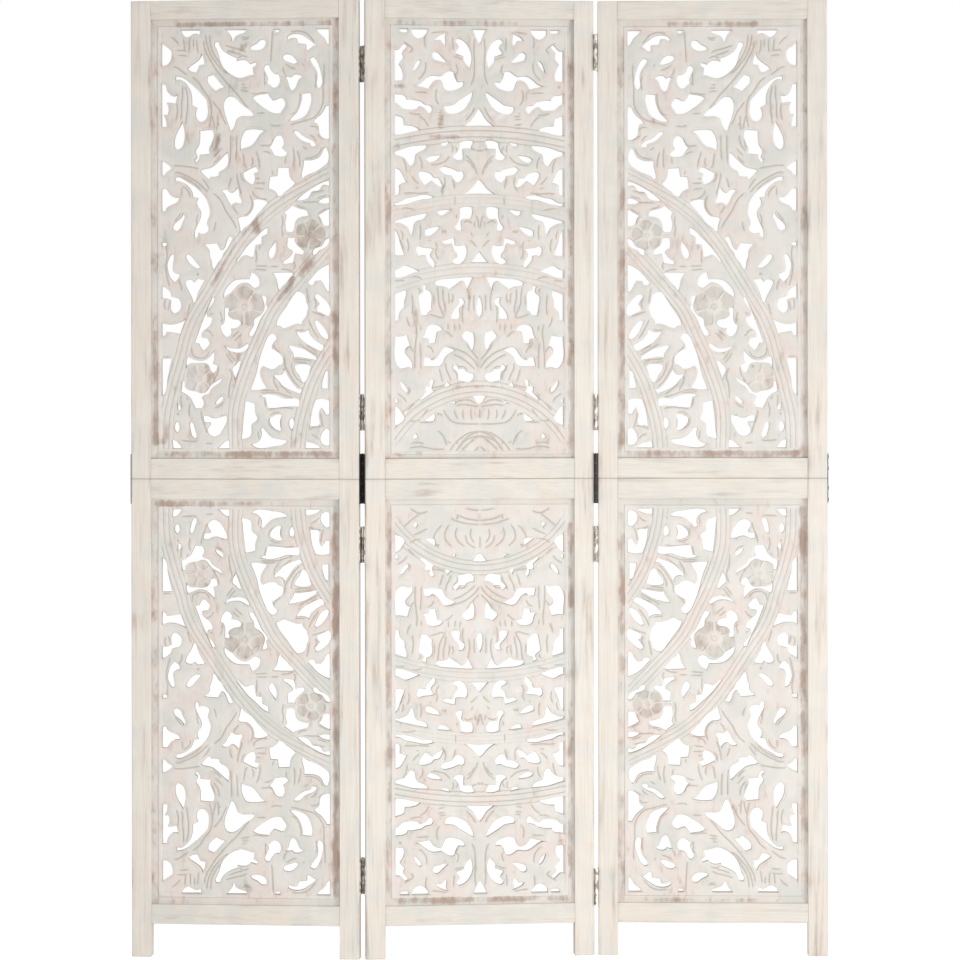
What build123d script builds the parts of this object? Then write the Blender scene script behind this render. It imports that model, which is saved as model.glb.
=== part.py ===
"""Three-leaf folding screen with carved jali panels.

Each leaf is an upper frame standing on a lower frame. A frame is two stiles and two rails with stub
tenons, and a pierced panel floats in their grooves. Steel hinges join the leaves, and steel plates tie
the two halves. The origin is on the floor under the middle of the open screen, with +Z up and the front
towards -Y.
"""
from build123d import *
import os
from math import atan2, cos, degrees, radians, sin

# Whole screen
SCREEN_WIDTH = 1200.0  # with the leaves in one plane
SCREEN_HEIGHT = 1650.0
SEAM_HEIGHT = 825.0  # where the upper halves stand on the lower halves
FRAME_THICKNESS = 25.0
LEAVES = ("left", "centre", "right")
LEAF_TURNS = {"left": -4.6, "centre": 5.6, "right": -1.9}  # degrees from one plane, as the screen stands
SIDES = {"left": -1, "right": 1}

# Frames
STILE_WIDTH = 34.0
TOP_RAIL = 32.0
SEAM_RAIL = 35.0  # the rails on both sides of the seam
BOTTOM_RAIL = 34.0
LEG_LENGTH = 57.0
EDGE_ROUND = 2.0
TENON_LENGTH = 16.0
TENON_SHOULDER = 6.0
JOINT_CLEARANCE = 0.1  # round the tenons

# Panels
PANEL_THICKNESS = 12.0
GROOVE_DEPTH = 8.0
GROOVE_CLEARANCE = 0.2  # on each side of the panel
PANEL_PLAY = 0.8  # from the panel's edge to the bottom of the groove
PANEL_BORDER = 18.0  # uncarved border inside the frame
CENTRE_SEAM_BORDERS = {"upper": 21.5, "lower": 29.5}  # the centre panels' borders beside the seam
CHART_HEIGHT = 416.0
SIDE_CHART_WIDTH = 167.0
CENTRE_CHART_WIDTH = 169.0
CORNER_TURN = 55.0  # degrees, a sharper turn of an outline stays a corner

# Hinges
KNUCKLES = 5
KNUCKLE_GAP = 0.3
BARREL_RADIUS = 3.1
BARREL_CLEARANCE = 0.1  # from the barrel to the plane of each leaf's edge
BARREL_STANDOFF = 0.5  # from the barrel to the wooden face
PIN_RADIUS = 1.5
PIN_CLEARANCE = 0.05
PIN_HEAD_RADIUS = 2.2
PIN_HEAD_HEIGHT = 1.0
HINGE_HEIGHT = 62.0
HINGE_WIDTH = 19.0
HINGE_THICKNESS = 1.4
HINGE_BELOW_TOP = {"left": 110.0, "right": 89.0}
HINGE_FROM_SEAM = 114.0
HINGE_ABOVE_FLOOR = {"left": 140.0, "right": 118.0}
SCREW_SPACING = 21.0

# Hinges and plates across the seam
SEAM_PLATE_HEIGHT = 86.0
SEAM_PLATE_WIDTH = 19.0
SEAM_PLATE_THICKNESS = 1.6
SEAM_SCREW_PLACES = (17.0, 37.0)  # above and below the seam

# Wood screws
SCREW_RADIUS = 1.5
SCREW_IN_WOOD = 14.0
PILOT_SPARE = 0.5  # past the screw's tip
SCREW_CLEARANCE = 0.05
SINK_RADIUS = 2.8
SINK_ANGLE = 90.0
DOME_RADIUS = 3.6
DOME_HEIGHT = 1.2
DOME_ROUND = 0.9

LEAF_GAP = 2 * (BARREL_RADIUS + BARREL_CLEARANCE)
LEAF_WIDTH = (SCREEN_WIDTH - 2 * LEAF_GAP) / 3
OPENING_WIDTH = LEAF_WIDTH - 2 * STILE_WIDTH
AXIS_STANDOFF = BARREL_RADIUS + BARREL_STANDOFF
GROOVE_WIDTH = PANEL_THICKNESS + 2 * GROOVE_CLEARANCE
SMALL_HINGE = (HINGE_HEIGHT, HINGE_WIDTH, HINGE_THICKNESS)
SEAM_HINGE = (SEAM_PLATE_HEIGHT, SEAM_PLATE_WIDTH, SEAM_PLATE_THICKNESS)
# Face that each hinge line stands off: the left line is behind the screen, the right one in front of it.
LINE_FACES = {"left": -1, "right": 1}
LINE_LEAVES = {"left": (("left", 1), ("centre", -1)), "right": (("centre", 1), ("right", -1))}
ENDS = (-1, 1)

# Pierced openings of the side panels' carving, in chart units across from the outer edge and up from
# the foot.
SIDE_OPENINGS = [
    # along the top edge
    [(19, 416), (22, 411), (26, 409), (30, 411), (38, 411), (39, 416)],
    [(64, 416), (67, 413), (69, 410), (70, 405), (72, 404.5), (75, 410), (80, 412), (84, 413.5),
     (84, 416)],
    [(112, 416), (114, 413), (117, 413), (118, 416)],
    [(154, 416), (157, 412), (162, 407), (164, 403), (167, 400.5), (167, 416)],
    # around the corner acanthus
    [(0, 404), (3, 401), (10, 394.5), (10, 390), (8, 384), (3, 381), (0, 381)],
    [(0, 363), (4.5, 362), (6, 355), (10, 351), (16, 352), (14, 343), (10, 344), (5, 344), (7, 338),
     (6, 332), (2, 332), (5, 323), (5, 320), (0, 320)],
    [(40, 393), (42, 388), (43, 382), (38, 381), (35, 374), (30, 375), (26, 378), (30, 381.5), (35, 385)],
    [(14, 370.5), (24, 367), (30, 362), (36, 356.5), (41, 351), (45, 346), (46, 341), (46, 331),
     (43, 326), (38, 325), (35, 328), (35.5, 339), (30, 342), (29.5, 352), (28, 357), (25, 362),
     (21, 366), (14, 366)],
    [(46, 370), (51, 372), (54, 369), (58, 364), (63, 359), (57, 357), (54, 355), (50, 359), (46, 364)],
    [(52.5, 402), (54, 404.5), (57.5, 404), (61, 396), (68, 391), (75, 388), (75, 385), (84, 385.5),
     (88, 382), (94, 384), (95, 381), (91, 378), (92, 371), (86, 370), (79, 368), (72, 370), (64, 376),
     (60, 381), (57, 390), (54, 398)],
    [(62, 344), (64, 348), (68, 350), (72, 349), (76, 346), (81, 341), (88, 336), (92, 331), (88, 330),
     (80, 330), (76, 328), (73, 321), (70, 316), (68, 316), (66, 323), (63, 332)],
    # along the drooping leaf
    [(20.5, 325), (22.5, 318), (23, 308), (20, 299.5), (16, 297), (13, 300), (12.5, 304), (14, 312),
     (18, 320)],
    [(38, 316), (50, 317), (52, 313), (51, 306), (47.5, 297), (48.5, 293), (38, 292), (37.5, 288),
     (34, 284), (32.5, 287), (35, 291), (33.5, 295), (36, 300), (38, 310)],
    [(84, 316.5), (95, 317), (103, 315.5), (97, 310), (92, 303), (88, 300), (83, 298.5), (79, 296),
     (78.5, 302), (80, 310)],
    [(0, 286), (4, 284), (8, 281), (10, 278.5), (8, 277), (5, 275), (2, 271.5), (0, 271.5)],
    [(65.5, 294.5), (66.5, 290), (66, 282), (63, 278), (58, 275), (57, 271), (52, 270), (49, 270),
     (47, 267), (44, 270), (38.5, 276), (41, 277.5), (48, 279), (54, 283), (60, 289)],
    [(0, 258), (5, 257.5), (8, 253), (10, 251), (17, 250), (17, 247), (12, 243), (6, 240), (4, 236),
     (0, 236)],
    [(13, 269), (15, 270), (24, 266), (32, 261), (38, 256), (44, 249), (47.5, 240), (48, 232), (45.5, 223),
     (47, 217), (45, 214.5), (37, 214.5), (35.5, 209.5), (33, 209), (33, 217), (36.5, 225), (38.5, 236),
     (36, 240), (36.5, 249), (31, 250), (28.5, 258), (22, 264), (14, 266)],
    [(21, 234), (23, 230), (21, 225), (19, 220), (15, 216), (11, 218), (11, 221), (15, 226)],
    [(75, 259.5), (77, 256), (78, 250), (80, 245), (79, 243), (72, 243.5), (69.5, 241), (66, 246),
     (63, 252), (59.5, 256), (63, 257.5), (67, 255.5), (69, 254), (71, 254.5)],
    [(75.5, 228), (78, 230), (83, 230.5), (88, 234), (91, 240), (91, 247), (100, 247), (106, 244),
     (101, 238), (94, 230), (88, 222.5), (83, 219), (80, 215), (78, 216), (77, 223)],
    [(81, 274), (85, 276), (91, 279), (94, 280), (97, 275), (92, 273), (93, 266), (91, 262), (86, 264.5),
     (82, 269)],
    # round the top scroll
    [(88, 397), (90, 400), (94, 402), (98, 405.5), (102, 406), (104, 403), (103, 399), (99, 396),
     (92, 395.5)],
    [(125, 408), (127, 410), (132, 411.5), (138, 411), (143, 408.5), (149, 404), (154.5, 399), (150, 398),
     (147, 395.5), (144, 395.5), (144, 401), (136, 402), (134.5, 407), (128, 406.5), (126, 405)],
    [(120.5, 389), (124, 391.5), (128, 391), (132, 388), (135.5, 383.5), (134, 382), (128, 383),
     (122, 386)],
    [(102, 378), (104, 381), (107, 380), (109, 376), (112, 372.5), (116, 372), (118, 368), (116.5, 360),
     (110, 359), (108, 361), (104, 363), (105, 370)],
    [(123, 369), (127, 369), (129, 368), (132, 371), (136, 371), (140.5, 368), (136, 364), (134, 358.5),
     (130, 355), (128, 357), (126, 363)],
    [(147.5, 387), (151, 388.5), (155, 384), (157.5, 378), (159.5, 370), (159.5, 360), (157, 357),
     (154.5, 360), (155, 370), (153, 377), (149, 383)],
    [(90.5, 348.5), (95, 351), (101, 352), (106, 353), (108, 349), (111, 345.5), (113, 346), (118, 348.5),
     (122, 346), (123.5, 341), (121.5, 337), (119, 333), (110, 333.5), (104, 337), (97, 342)],
    [(139.5, 352), (148, 353), (149.5, 347), (148, 339), (144, 331), (138, 327), (131, 325), (127, 325),
     (129, 328), (134, 333), (138, 341), (139.5, 347)],
    [(163.5, 340), (167, 340), (167, 307), (163, 307), (158, 310.5), (156.5, 315), (156, 320),
     (151, 323.5), (152, 325.5), (158, 331), (161, 335)],
    # leaves above the outer band
    [(131, 314.5), (135, 315), (141, 310), (148, 306.5), (154, 301), (153, 299.5), (148.5, 299.5),
     (147.5, 303), (142, 304.5), (136, 308.5)],
    [(113, 309), (118, 311), (121, 308), (122, 302), (120, 298), (125.5, 293), (123, 290), (116, 290),
     (112.5, 291), (110, 295), (106, 299), (110, 303)],
    [(116, 279), (127, 278.5), (127.5, 272), (130, 266), (133, 264), (130, 259.5), (124, 255),
     (119, 250.5), (115.5, 250.5), (113, 255), (106.5, 258), (107, 265), (108, 270), (115, 270.5)],
    [(163, 299), (165, 296), (164.5, 282), (162, 280), (158, 277), (150, 273), (145, 271), (141, 267.5),
     (139, 269), (139.5, 274), (141, 280), (141, 286), (148, 286), (155, 288), (159, 292), (161, 297)],
    [(167, 266), (155, 261.5), (146, 256), (138, 250), (134, 246), (139, 246), (147, 249.5), (150, 254.5),
     (157, 256), (159, 259), (167, 260)],
    # between the outer band and the middle band
    [(167, 249), (158, 246.5), (155.5, 244.5), (160, 243), (167, 243)],
    [(167, 238), (160, 234), (155.5, 231), (158, 228), (160, 223), (167, 221)],
    [(130, 241.5), (134, 239), (139, 237.5), (143, 236.5), (146, 230.5), (141, 230), (135, 227),
     (133, 223), (132, 217), (130, 214.5), (124, 215), (123, 220), (123, 226), (124, 231), (121.5, 234.5),
     (125, 237)],
    [(125, 209), (133, 209), (134, 203), (138, 199), (142, 195), (141, 192), (133, 193.5), (132, 188),
     (131, 184), (121, 182.5), (121, 186), (127, 190), (130, 194), (129, 197), (125.5, 199), (125, 204)],
    [(167, 208), (163, 207), (159, 201), (152, 198), (150.5, 192), (154, 192.5), (157, 196), (162, 198.5),
     (167, 204)],
    [(106, 219.5), (105.5, 213), (100, 210), (99.5, 203), (94, 202), (93, 198), (92, 190.5), (88, 190.5),
     (84, 192), (80, 190), (76, 185), (74, 186), (79, 193), (86, 202), (95, 211), (101, 217)],
    [(113, 206), (114, 202), (113, 193), (110, 188), (107, 189.5), (106, 193), (109, 200)],
    [(110, 174), (120, 174.5), (130, 174.5), (131, 172), (128, 169), (124, 164), (120, 160), (118, 156.5),
     (116, 159), (115, 164), (113, 170)],
    [(62, 149), (62, 155), (66, 161.5), (72, 166.5), (80, 168), (87, 168), (89, 175), (93, 173), (97, 168),
     (97.5, 161.5), (90, 160.5), (86, 164), (80, 164), (74, 160), (70, 155.5), (65, 152)],
    [(62.5, 139), (66, 140), (67, 137), (66, 133), (68, 130), (72, 128), (76, 127.5), (79, 123.5),
     (77, 121), (74, 119.5), (69, 119), (69, 113), (66, 110.5), (62, 112), (59, 117), (58, 122),
     (61, 124), (62.5, 130)],
    [(99.5, 152), (103, 151), (104.5, 146), (104, 142), (106, 140), (103, 135), (99, 129), (96, 122),
     (93, 115), (91, 111.5), (87, 111.5), (87, 115), (91, 122), (92, 128), (96, 131), (100, 135),
     (102, 140), (101, 146)],
    [(62.5, 102), (66, 100), (72, 99), (78, 99.5), (82, 102), (86, 104), (87, 102), (84, 97.5), (80, 95.5),
     (74, 95), (67, 97)],
    [(79, 86.5), (76, 86), (73, 82.5), (70.5, 80.5), (70, 77), (71.5, 73), (73, 68), (74.5, 72), (77, 79)],
    [(50, 150), (52.5, 149.5), (52, 146), (45, 134), (46, 130.5), (50, 130), (50, 126), (46, 120),
     (40.5, 115), (40, 110), (46, 109), (48, 104), (44, 99), (41, 97), (38, 101), (37, 104), (32.5, 105),
     (35, 112), (39, 123), (43, 133)],
    [(26, 91.5), (30, 89), (36, 87), (42, 87.5), (47, 91), (52, 97), (52.5, 91), (51, 84), (55.5, 82),
     (54, 77), (52, 75), (48.5, 76.5), (46.5, 82), (43, 84.5), (34, 84.5), (28, 84), (24.5, 79), (24, 84),
     (25, 90)],
    [(20, 66), (23, 66), (23, 61), (28, 57.5), (35, 56), (40, 54.5), (45, 57.5), (48.5, 62.5), (54, 66.5),
     (60, 70.5), (59, 66.5), (53, 62), (49, 58), (47, 54.5), (42, 52.5), (40, 50), (42, 44), (40, 40),
     (33, 39.5), (31, 44), (27, 51), (22, 54.5), (19, 56)],
    [(53, 43.5), (56, 44), (60, 47), (61.5, 50.5), (59, 51.5), (56, 49), (54, 46.5)],
    [(41, 31.5), (47, 31.5), (51, 29.5), (58, 30.5), (64.5, 32.5), (65, 30), (62, 21), (58, 14.5),
     (52, 11.5), (48, 13), (45.5, 16.5), (46, 20), (48, 23), (48, 26), (42, 26)],
    [(28, 26), (30.5, 25), (33, 18), (34.5, 13), (33.5, 9.5), (30, 12), (28.5, 17), (27.5, 22)],
    [(13.5, 25), (15, 26.5), (16.5, 25), (17, 18), (15.5, 15.5), (13.5, 17)],
    [(15.5, 44.5), (17.5, 43), (19, 39), (17.5, 37), (15.5, 38)],
    [(10, 7.5), (14, 7), (17, 4), (20, 0), (11, 0), (10.5, 4)],
    [(56, 0), (60, 4), (64, 7), (67, 7.5), (67.5, 0)],
    # along the outer band's outer side
    [(0, 205), (5, 204.5), (4.5, 201.5), (0, 201)],
    [(10, 193), (12, 193), (12, 188), (11, 180), (11.5, 176), (14, 174), (17, 174), (17.5, 171.5),
     (14.5, 166.5), (12.5, 165), (10.5, 167), (8, 170), (6, 176), (5, 182), (6.5, 188)],
    [(23.5, 191), (25, 193), (28, 192), (32, 188), (36, 183), (38.5, 180), (36, 179), (31, 181),
     (27, 184.5)],
    [(42, 203), (55, 204), (59, 197), (61, 198), (64, 204), (67, 210.5), (71, 209), (68, 203), (65, 198),
     (62, 194), (60, 189), (56, 184), (53, 179), (51, 177.5), (50, 180), (49, 187), (47.5, 191), (47, 197),
     (45, 200)],
    [(23, 165), (26, 167.5), (30, 167), (32, 165), (35, 168.5), (43, 167), (40, 162), (37, 156), (35, 150),
     (33, 145), (31, 144.5), (29.5, 150), (26, 157), (24, 161)],
    [(0, 162), (3, 160), (6, 158), (9, 154), (9.5, 151), (13, 150), (17, 148.5), (19, 145), (19, 139),
     (16, 135.5), (12.5, 134), (9, 137), (8.5, 143), (9, 147), (5, 149), (0, 149)],
    [(0, 125), (8, 123), (16, 124.5), (24, 128.5), (21, 121), (18.5, 113.5), (12, 115), (5, 116),
     (2.5, 112), (0, 111)],
    [(0, 89), (10, 89), (8, 80), (5.5, 67), (2.5, 54), (0, 52)],
    # between the middle band and the inner band
    [(167, 183), (161, 180), (155, 176), (148, 168), (145, 165), (147, 162), (151, 162), (153, 166),
     (158, 166.5), (160, 164), (162, 160), (165, 155.5), (167, 156)],
    [(134, 155.5), (140, 154), (143, 151), (144.5, 144), (146, 141), (145, 135), (144, 131), (141, 127),
     (140, 122.5), (130, 122), (124, 119.5), (121, 119), (118, 121), (114, 121), (115, 127), (119, 134),
     (124, 141), (129, 149)],
    [(153, 153), (157, 152), (162, 148), (167, 142), (167, 131), (163, 132), (158, 134.5), (154, 136),
     (155, 141), (157, 143), (155, 146), (152, 150)],
    [(151.5, 126), (154, 127), (158, 124), (162, 119), (165, 114), (166, 109), (164, 108), (159, 111),
     (155, 117)],
    [(133.5, 116), (140, 115), (146.5, 118.5), (148.5, 112), (154, 106.5), (161, 102), (161, 99),
     (158, 96), (151, 99.5), (144, 103.5), (139, 107.5)],
    [(126, 102), (130, 101.5), (136, 100), (143, 97.5), (150, 93), (154, 89.5), (154, 87), (151, 88),
     (145, 89), (140, 90), (131, 90), (130, 95), (128, 98)],
    [(132, 81.5), (135, 83), (140, 83.5), (145, 83), (149, 80.5), (147, 75), (145, 69), (142, 65),
     (140, 65.5), (137, 71), (133, 77)],
    [(109, 114), (113, 112.5), (114.5, 108), (111, 104), (110, 99), (115, 96), (120, 91), (120, 83),
     (116, 81.5), (113, 79), (104, 80), (101, 81.5), (98.5, 78), (99, 70), (102, 64), (104.5, 59.5),
     (98, 58), (88, 58), (91, 66), (94, 75), (96, 84), (99, 95), (102, 103), (105, 110)],
    [(121.5, 79.5), (124, 75), (128, 68), (133, 61.5), (137, 58.5), (140, 59), (139, 56), (137, 54),
     (132, 56), (125, 59), (119, 63), (115, 68), (112, 71), (112, 74), (117, 72.5), (120, 74)],
    [(98, 52), (104, 53.5), (112, 53), (118, 51), (124, 49), (133, 49.5), (137, 48), (137, 43),
     (136, 40.5), (130, 41.5), (122, 41), (113, 40), (105, 40), (104, 45), (103, 50)],
    [(107, 29), (111, 32), (117, 33.5), (120, 32.5), (118, 28), (118, 22), (119, 18), (116, 17.5),
     (111, 20.5), (108, 25)],
    [(127, 28), (130, 30), (131.5, 27), (130.5, 20), (129.5, 18), (127, 22)],
    [(83, 47), (87, 46), (93, 44), (93, 38), (94, 33), (95, 29), (93, 26.5), (90, 24), (89.5, 18),
     (88, 12), (84, 10), (79, 9), (80, 16), (81, 28), (82, 38)],
    [(98, 19), (101, 20), (105, 15), (111, 10), (118, 8.5), (125, 7), (120, 3.5), (112, 2), (92, 1.5),
     (89, 4), (96, 6.5), (98, 9)],
    # inside the inner band
    [(165.5, 77), (163, 76), (161, 71), (159.5, 65), (159, 59.5), (165.5, 59)],
    [(153, 48), (160, 49), (167, 47), (167, 34), (163, 33), (161, 37), (159, 40), (157, 36), (156.5, 30),
     (157, 24), (155, 22), (149, 22), (147, 20), (148, 28), (149, 36), (151, 43)],
    [(163, 19.5), (167, 18), (167, 3.5), (160, 4), (158, 7), (158, 12), (160, 16)],
    [(143, 0), (143.5, 6.5), (148, 5.5), (154, 3.5), (158, 0)],
]
# Pierced openings of the left half of the centre panels' carving, which the right half mirrors.
CENTRE_OPENINGS = [
    # lyre scrolls at the top
    [(4, 416), (6, 413), (10, 412.5), (13, 413), (13, 416)],
    [(16.5, 416), (17, 412), (20, 408), (24, 406.5), (28, 408), (31, 411), (33, 416)],
    [(52, 413), (50.5, 408), (51, 403), (50, 400), (48, 402), (46, 405), (40, 405), (42, 408), (47, 411)],
    [(60, 404), (63, 407), (67, 406), (72, 402), (75, 397), (77, 391), (76.5, 382), (75, 377), (73.5, 379),
     (69, 385), (69, 389), (61, 392), (62, 395), (64, 398), (63, 401)],
    [(0, 395.5), (5, 396.5), (8, 400), (10, 401.5), (12.5, 399.5), (10, 396), (7.5, 392), (8.5, 388),
     (6, 384), (4, 381), (6, 378), (8, 373), (7.5, 365), (0, 364)],
    [(18, 373.5), (21, 376), (24.5, 381), (26, 384.5), (24, 385.5), (21, 382), (19, 377)],
    [(37.5, 391), (40, 393.5), (43, 393), (46, 390), (49, 387), (52, 384), (50, 383), (45, 384),
     (40, 385.5)],
    [(19, 360), (24, 361), (28, 364), (33, 368), (40, 370), (46, 369.5), (50, 372), (53, 374),
     (59, 373.5), (60.5, 368), (63, 363.5), (69, 364), (68, 360), (62, 356), (56, 354.5), (50, 356),
     (48, 361), (46, 365), (41, 365), (37, 362), (34, 356.5)],
    [(0, 352), (3, 351), (8, 350.5), (10.5, 349), (12, 345.5), (17, 346), (22, 345), (26, 344), (30, 341),
     (36, 339.5), (37, 338), (36.5, 333.5), (34, 332), (31, 335.5), (28, 338), (24, 339), (21, 336),
     (14, 335.5), (8, 336.5), (4, 340), (0, 342.5)],
    [(78, 354), (77.5, 350), (75, 344), (71, 338), (65, 333.5), (59, 331.5), (53, 332), (50, 335),
     (49.5, 339), (54, 340), (59, 341), (64, 344.5), (69, 348), (74, 351.5)],
    [(0, 330.5), (4, 329), (8, 327), (9, 323), (9.5, 320), (14, 320), (19, 319), (24, 316), (24, 314.5),
     (12, 312), (4, 310.5), (0, 310.5)],
    # palmettes between the upper bands
    [(0, 294), (8, 296.5), (16, 299), (24, 300), (32, 300.5), (31, 297.5), (26, 294), (21, 291), (20, 286),
     (18, 281), (15.5, 279.5), (13, 282), (10, 286.5), (5, 289), (0, 290.5)],
    [(45.5, 302), (50, 303), (54, 304), (52, 300.5), (47, 299.5)],
    [(65, 303), (70, 305), (79, 304.5), (77, 300), (76, 297), (68, 297), (68, 293), (68.5, 287),
     (65, 285.5), (60, 286.5), (58, 290), (62, 293), (64, 297)],
    [(31, 286), (34, 288.5), (40, 290), (46, 290.5), (44, 287.5), (39, 284), (34, 283)],
    [(45, 276), (49, 279), (54, 278), (59, 276.5), (63, 274.5), (67, 275), (69, 272), (68.5, 268),
     (65.5, 264.5), (62, 263), (59, 266), (57, 270), (52, 270.5), (48, 272.5)],
    [(23.5, 272), (26, 274), (31, 273.5), (36, 271.5), (39.5, 268), (43, 267.5), (46, 263.5), (48, 259),
     (45, 259), (41, 261), (37, 265), (33, 262.5), (30, 260), (27, 263.5), (24.5, 268)],
    [(0, 277), (4, 276), (7, 272), (9.5, 267), (11.5, 263), (7, 262), (4, 260), (4.5, 256), (4, 251.5),
     (0, 249.5)],
    [(0, 243), (6, 244), (11, 247), (18, 248.5), (26, 250.5), (34, 250.5), (38, 249), (36, 247), (28, 246),
     (19, 243.5), (10, 241), (0, 240)],
    # palmettes between the lower bands
    [(42, 234.5), (48, 235.5), (56, 236), (52, 233), (48, 230.5), (44, 230.5)],
    [(0, 224.5), (8, 227), (16, 229), (24, 231), (32, 232.5), (31, 229.5), (27, 226), (21, 224), (19, 220),
     (18, 214), (16.5, 210.5), (15, 213), (13, 217.5), (9, 220.5), (4, 222.5), (0, 222)],
    [(65, 237), (70, 239), (77, 238.5), (77.5, 232), (75, 227), (68, 226.5), (66, 223), (67, 217),
     (66, 215), (62, 215.5), (60, 219), (63, 223), (65, 230)],
    [(30, 211), (30, 215), (34, 217), (39, 218.5), (45, 219), (41, 214), (37, 211), (33, 209.5)],
    [(0, 216), (3, 211), (5, 204), (7, 198), (9.5, 191), (5, 190), (0, 190.5)],
    [(21.5, 198), (24, 200), (29, 198), (35, 197.5), (39, 196), (36.5, 194), (35.5, 190), (38, 186),
     (39.5, 179), (38, 177.5), (35, 181), (32, 185), (31, 190), (28, 190.5), (24, 189.5), (22, 192)],
    [(47, 204), (52, 206), (59, 208), (60, 204), (60, 200.5), (65, 200), (70, 201), (72, 197), (71.5, 190),
     (68, 184), (63, 181.5), (59, 182.5), (57, 184), (59, 186.5), (62, 188), (62, 192), (59, 196),
     (58, 200), (56, 202.5), (50, 201.5)],
    [(0, 176), (5, 177.5), (9, 180), (14, 179), (19, 177), (24, 174), (18, 172.5), (12, 170), (6, 168),
     (0, 168)],
    # leaves over the ring
    [(40, 163), (44, 165.5), (52, 167), (60, 167.5), (70, 168.5), (78, 168.5), (76, 164.5), (74, 160),
     (71.5, 156), (71, 160), (69, 164), (66, 165), (62, 162), (58, 159), (54, 156), (51, 158.5),
     (46, 159.5), (42, 160)],
    [(26.5, 159), (31, 161), (31, 156), (36, 153), (37, 148), (36.5, 141), (37, 136), (34, 134),
     (32, 130.5), (26, 130.5), (25, 136), (24, 143), (24, 150), (28, 153.5), (28, 157)],
    [(63, 148), (67, 148), (67.5, 140), (65, 138), (65, 130), (63, 126.5), (56, 127), (57, 132), (60, 137),
     (63, 140.5)],
    [(0, 151.5), (5, 153.5), (11, 155.5), (11, 149), (9.5, 144), (9, 138), (6, 135), (4, 130), (4, 126),
     (0, 125)],
    [(27.5, 108), (30, 112), (31.5, 118), (36, 121), (41, 121), (46, 118.5), (47.5, 115.5), (42, 114),
     (41, 108), (40, 102.5), (34, 102.5), (33.5, 107)],
    [(66.5, 110), (71, 115.5), (78.5, 113), (79, 100), (77.5, 95), (75, 98), (72, 103.5), (68, 107)],
    [(0, 109.5), (7, 109.5), (12, 111), (13.5, 105), (15, 100), (11, 97.5), (10, 94.5), (14, 88),
     (17.5, 81), (17, 77), (12, 78.5), (6, 77.5), (2.5, 80), (0, 85)],
    [(28, 80), (29.5, 88), (33, 88.5), (37, 85.5), (41, 87.5), (45, 93), (50, 98.5), (55, 98), (60, 95),
     (54, 92), (50, 88), (46.5, 81), (40, 79.5), (33, 79.5)],
    [(4.5, 64.5), (7, 63.5), (11, 59), (13, 55), (12, 53), (9, 55), (6, 59.5)],
    [(35, 65), (36.5, 67), (39, 65.5), (37.5, 61), (37, 57), (39, 54.5), (35, 51.5), (30, 48), (26, 45.5),
     (24.5, 47), (28, 50.5), (31, 54), (30, 57.5), (31, 59.5), (35, 59.5)],
    [(52, 64.5), (54, 62), (55.5, 60.5), (51, 58.5), (49.5, 59.5)],
    [(58, 79), (61, 81.5), (63, 79), (64, 76.5), (70, 77), (71, 75), (74, 73), (78, 72.5), (78.5, 67),
     (76, 64.5), (68, 64.5), (63, 65.5), (63, 70), (62, 74), (58.5, 77)],
    # round the ring and inside it
    [(0, 47), (2.5, 47), (3, 43.5), (0, 42.5)],
    [(0, 40), (4, 37.5), (8, 31.5), (9.5, 28), (8, 25), (4, 22), (0, 20)],
    [(39.5, 33), (40, 29), (38.5, 25), (34, 24.5), (30, 25.5), (34, 28.5), (37, 31)],
    [(55.5, 42.5), (60, 45), (60.5, 42)],
    [(20.5, 13), (22.5, 8.5), (20, 7), (17.5, 8.5)],
]
# Openings that the centre line runs through, from the line round their left side and back to the line.
CENTRE_LINE_OPENINGS = [
    [(84.5, 416), (77.5, 416), (80, 411), (82, 406), (84.5, 402)],
    [(84.5, 337), (81, 332), (78, 327), (74, 323), (70, 319.5), (84.5, 320)],
    [(84.5, 266), (82, 264), (79, 260), (74, 255), (69, 251.5), (84.5, 252)],
    [(84.5, 194), (82, 191), (79, 187), (76, 183.5), (84.5, 183.5)],
    [(84.5, 150), (82.5, 145), (81.5, 139), (82, 132), (84.5, 128.5)],
    [(84.5, 50.5), (77, 49.5), (80, 46), (82.5, 42.5), (84.5, 42)],
]


def across(leaf):
    """Direction across a leaf, from its left edge to its right edge."""
    turn = radians(LEAF_TURNS[leaf])
    return Vector(cos(turn), sin(turn))


def front(leaf):
    """Direction out of a leaf's front face."""
    turn = radians(LEAF_TURNS[leaf])
    return Vector(sin(turn), -cos(turn))


def line_from_middle(leaf, side, face):
    """Place of the hinge line beside a leaf's edge, from the leaf's middle."""
    beside = across(leaf) * (side * (LEAF_WIDTH + LEAF_GAP) / 2)
    return beside + front(leaf) * (face * (FRAME_THICKNESS / 2 + AXIS_STANDOFF))


def plan_points():
    """Corners of the three leaves in plan, before the screen is centred on the origin."""
    half_width = LEAF_WIDTH / 2
    for leaf in LEAVES:
        for side in ENDS:
            for face in ENDS:
                edge = across(leaf) * (side * half_width)
                yield middles[leaf] + edge + front(leaf) * (face * (FRAME_THICKNESS / 2 - EDGE_ROUND))
    for line, place in lines.items():
        yield place - Vector(0, LINE_FACES[line] * BARREL_RADIUS)


# Places in plan of the leaves' middles and the hinge lines, first from the centre leaf's middle
lines = {"left": line_from_middle("centre", -1, -1), "right": line_from_middle("centre", 1, 1)}
middles = {
    "left": lines["left"] - line_from_middle("left", 1, LINE_FACES["left"]),
    "centre": Vector(0, 0),
    "right": lines["right"] - line_from_middle("right", -1, LINE_FACES["right"]),
}
span_x = [point.X for point in plan_points()]
span_y = [point.Y for point in plan_points()]
shift = Vector(min(span_x) + max(span_x), min(span_y) + max(span_y)) * 0.5
lines = {name: place - shift for name, place in lines.items()}
middles = {name: place - shift for name, place in middles.items()}

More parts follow.
